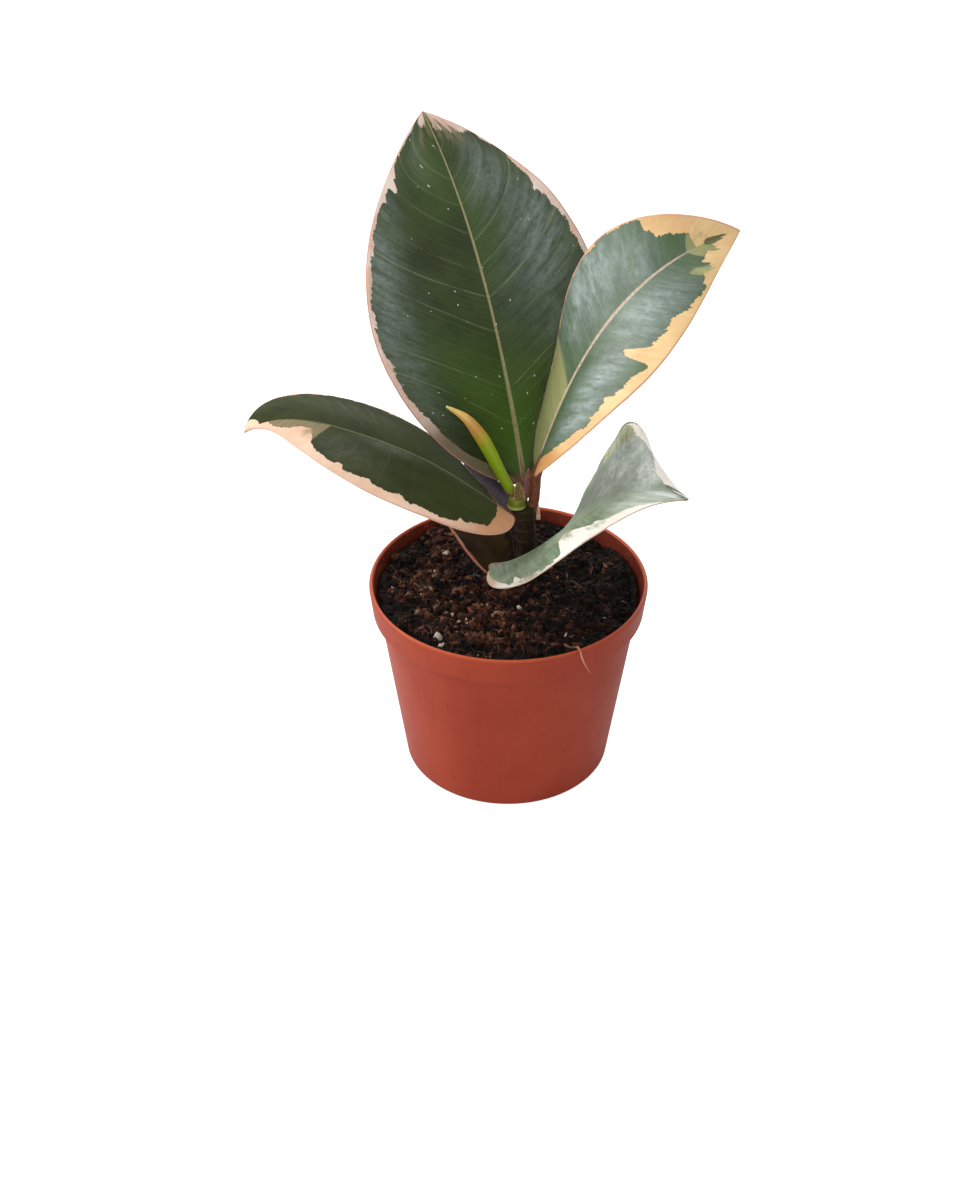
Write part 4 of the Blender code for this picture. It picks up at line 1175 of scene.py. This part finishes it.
def makeRootMaterial():
    look = root["look"]
    material, tree = startMaterial("rootSkin")
    grain, tone = grainAt(tree, 1400.0)
    base = layered(look["brown"], (stepUp(tone, 0.4, 0.65), look["pink"]),
                   (attribute(tree, "tint") * 0.9, look["dark"]))
    return finishMaterial(material, base, tone * 0.2 + 0.6, grain, 0.6, 0.0002)


def makeRoot():
    # a tube along the path, knotty and thinner towards its end
    t = np.linspace(0, 1, root["rings"])
    knotty = 0.75 + 0.25 * np.sin(9 * t + 1) ** 2
    radii = root["radius"] * knotty * (1 - root["thinning"] * smoothly(t, 0.55, 1.0))
    body = tube(along(root["path"], t), radii, root["around"], (1, 0, 0),
                lambda s, turn: root["knot"] * lattice(s * 40, turn * 2, 3))
    # the first part, lying on the soil inside the rim, is darkened: painted shade
    body = valued(body, tint=root["shade"] * smoothly(-t, -0.5, -0.3)[:, None])
    buildPiece("rootStrand", [body], [makeRootMaterial()], "root_strand")


view = dict(place=(-0.0061, -0.3554, 0.2890), tilt=54.9, lens=60.0, sensor=36.0, nearest=0.01, farthest=20.0)


def makeCamera():
    data = bpy.data.cameras.new("camera")
    data.lens, data.sensor_fit, data.sensor_height = view["lens"], "VERTICAL", view["sensor"]
    data.clip_start, data.clip_end = view["nearest"], view["farthest"]
    camera = bpy.data.objects.new("camera", data)
    camera.location = view["place"]
    camera.rotation_euler = (radians(view["tilt"]), 0.0, 0.0)
    scene.collection.objects.link(camera)
    scene.camera = camera


lamps = {   # turn: degrees from the viewer's side towards the right; lift: degrees above the horizon
    "keyLamp": dict(turn=-95, lift=38, away=0.80, size=0.50, power=4.2, tint=(1.0, 0.985, 0.96)),
    "fillLamp": dict(turn=4, lift=27, away=0.80, size=0.50, power=1.3, tint=(0.98, 0.99, 1.0)),
    "sideLamp": dict(turn=-75, lift=8, away=0.80, size=0.30, power=1.2, tint=(1.0, 0.97, 0.93)),
    "backLamp": dict(turn=178, lift=40, away=0.80, size=0.50, power=2.8, tint=(1.0, 1.0, 1.0)),
}


def makeLamps():
    # each lamp stands on a sphere round the plant and faces its middle
    middle = Vector((0.0, 0.0, 0.07))
    for name, lamp in lamps.items():
        turn, lift = radians(lamp["turn"]), radians(lamp["lift"])
        toward = Vector((cos(lift) * sin(turn), -cos(lift) * cos(turn), sin(lift)))
        data = bpy.data.lights.new(name, "AREA")
        data.shape, data.size, data.energy, data.color = "DISK", lamp["size"], lamp["power"], lamp["tint"]
        light = bpy.data.objects.new(name, data)
        light.location = middle + toward * lamp["away"]
        light.rotation_euler = toward.to_track_quat("Z", "Y").to_euler()
        scene.collection.objects.link(light)


surroundings = dict(seen=1.0, cast=0.52, colour=(1.0, 1.0, 1.0, 1.0))


def makeWorld():
    # white where it is seen, mirrored or seen through, softer as light
    world = bpy.data.worlds.new("surroundings")
    world.use_nodes = True
    back = world.node_tree.nodes["Background"]
    camera, glossy, through = add(world.node_tree, "LightPath", {},
                                  ("Is Camera Ray", "Is Glossy Ray", "Is Transmission Ray"))
    isSeen = maths("MAXIMUM", maths("MAXIMUM", camera, glossy), through)
    gain = surroundings["seen"] - surroundings["cast"]
    plug(isSeen * gain + surroundings["cast"], back.inputs["Strength"])
    back.inputs["Color"].default_value = surroundings["colour"]
    scene.world = world


ground = dict(size=5.0, colour=(0.62, 0.62, 0.62, 1.0), paler=(0.8, 0.8, 0.79, 1.0), lift=0.82)


def makeGround():
    # pale floor; what the camera sees of it is lifted towards white and keeps the plant's shadow
    material, tree = startMaterial("ground")
    shader = tree.nodes["Principled BSDF"]
    shader.inputs["Roughness"].default_value = 0.9
    shader.inputs["Specular IOR Level"].default_value = 0.1
    shader.inputs["Emission Color"].default_value = (1, 1, 1, 1)
    base = over(ground["colour"], noise(onObject(tree), 3.0, 2.0) * 0.04, ground["paler"])
    plug(base, shader.inputs["Base Color"])
    plug(add(tree, "LightPath", {}, "Is Camera Ray") * ground["lift"], shader.inputs["Emission Strength"])
    half = ground["size"] / 2
    corners = [(-half, -half, 0), (half, -half, 0), (half, half, 0), (-half, half, 0)]
    mesh = bpy.data.meshes.new("ground")
    mesh.from_pydata(corners, [], [(0, 1, 2, 3)])
    mesh.materials.append(material)
    floor = bpy.data.objects.new("ground", mesh)
    scene.collection.objects.link(floor)


scene.view_settings.view_transform = "Standard"
makeCamera()
makeLamps()
makeWorld()
makeGround()
print("camera, lamps and ground stand")
makePot()
makeSoil()
print("pot is filled")
makeStem()
makeBud()
makeNewLeaf()
for scaleName, scaleFacts in scales.items():
    makeScale(scaleName, scaleFacts)
makeRoot()
leaves = dict(leafBack=leafBack, leafRight=leafRight, leafLeft=leafLeft, leafFront=leafFront, leafLow=leafLow)
for leafName, leafFacts in leaves.items():
    makeLeaf(leafName, leafFacts)
print("plant is complete")
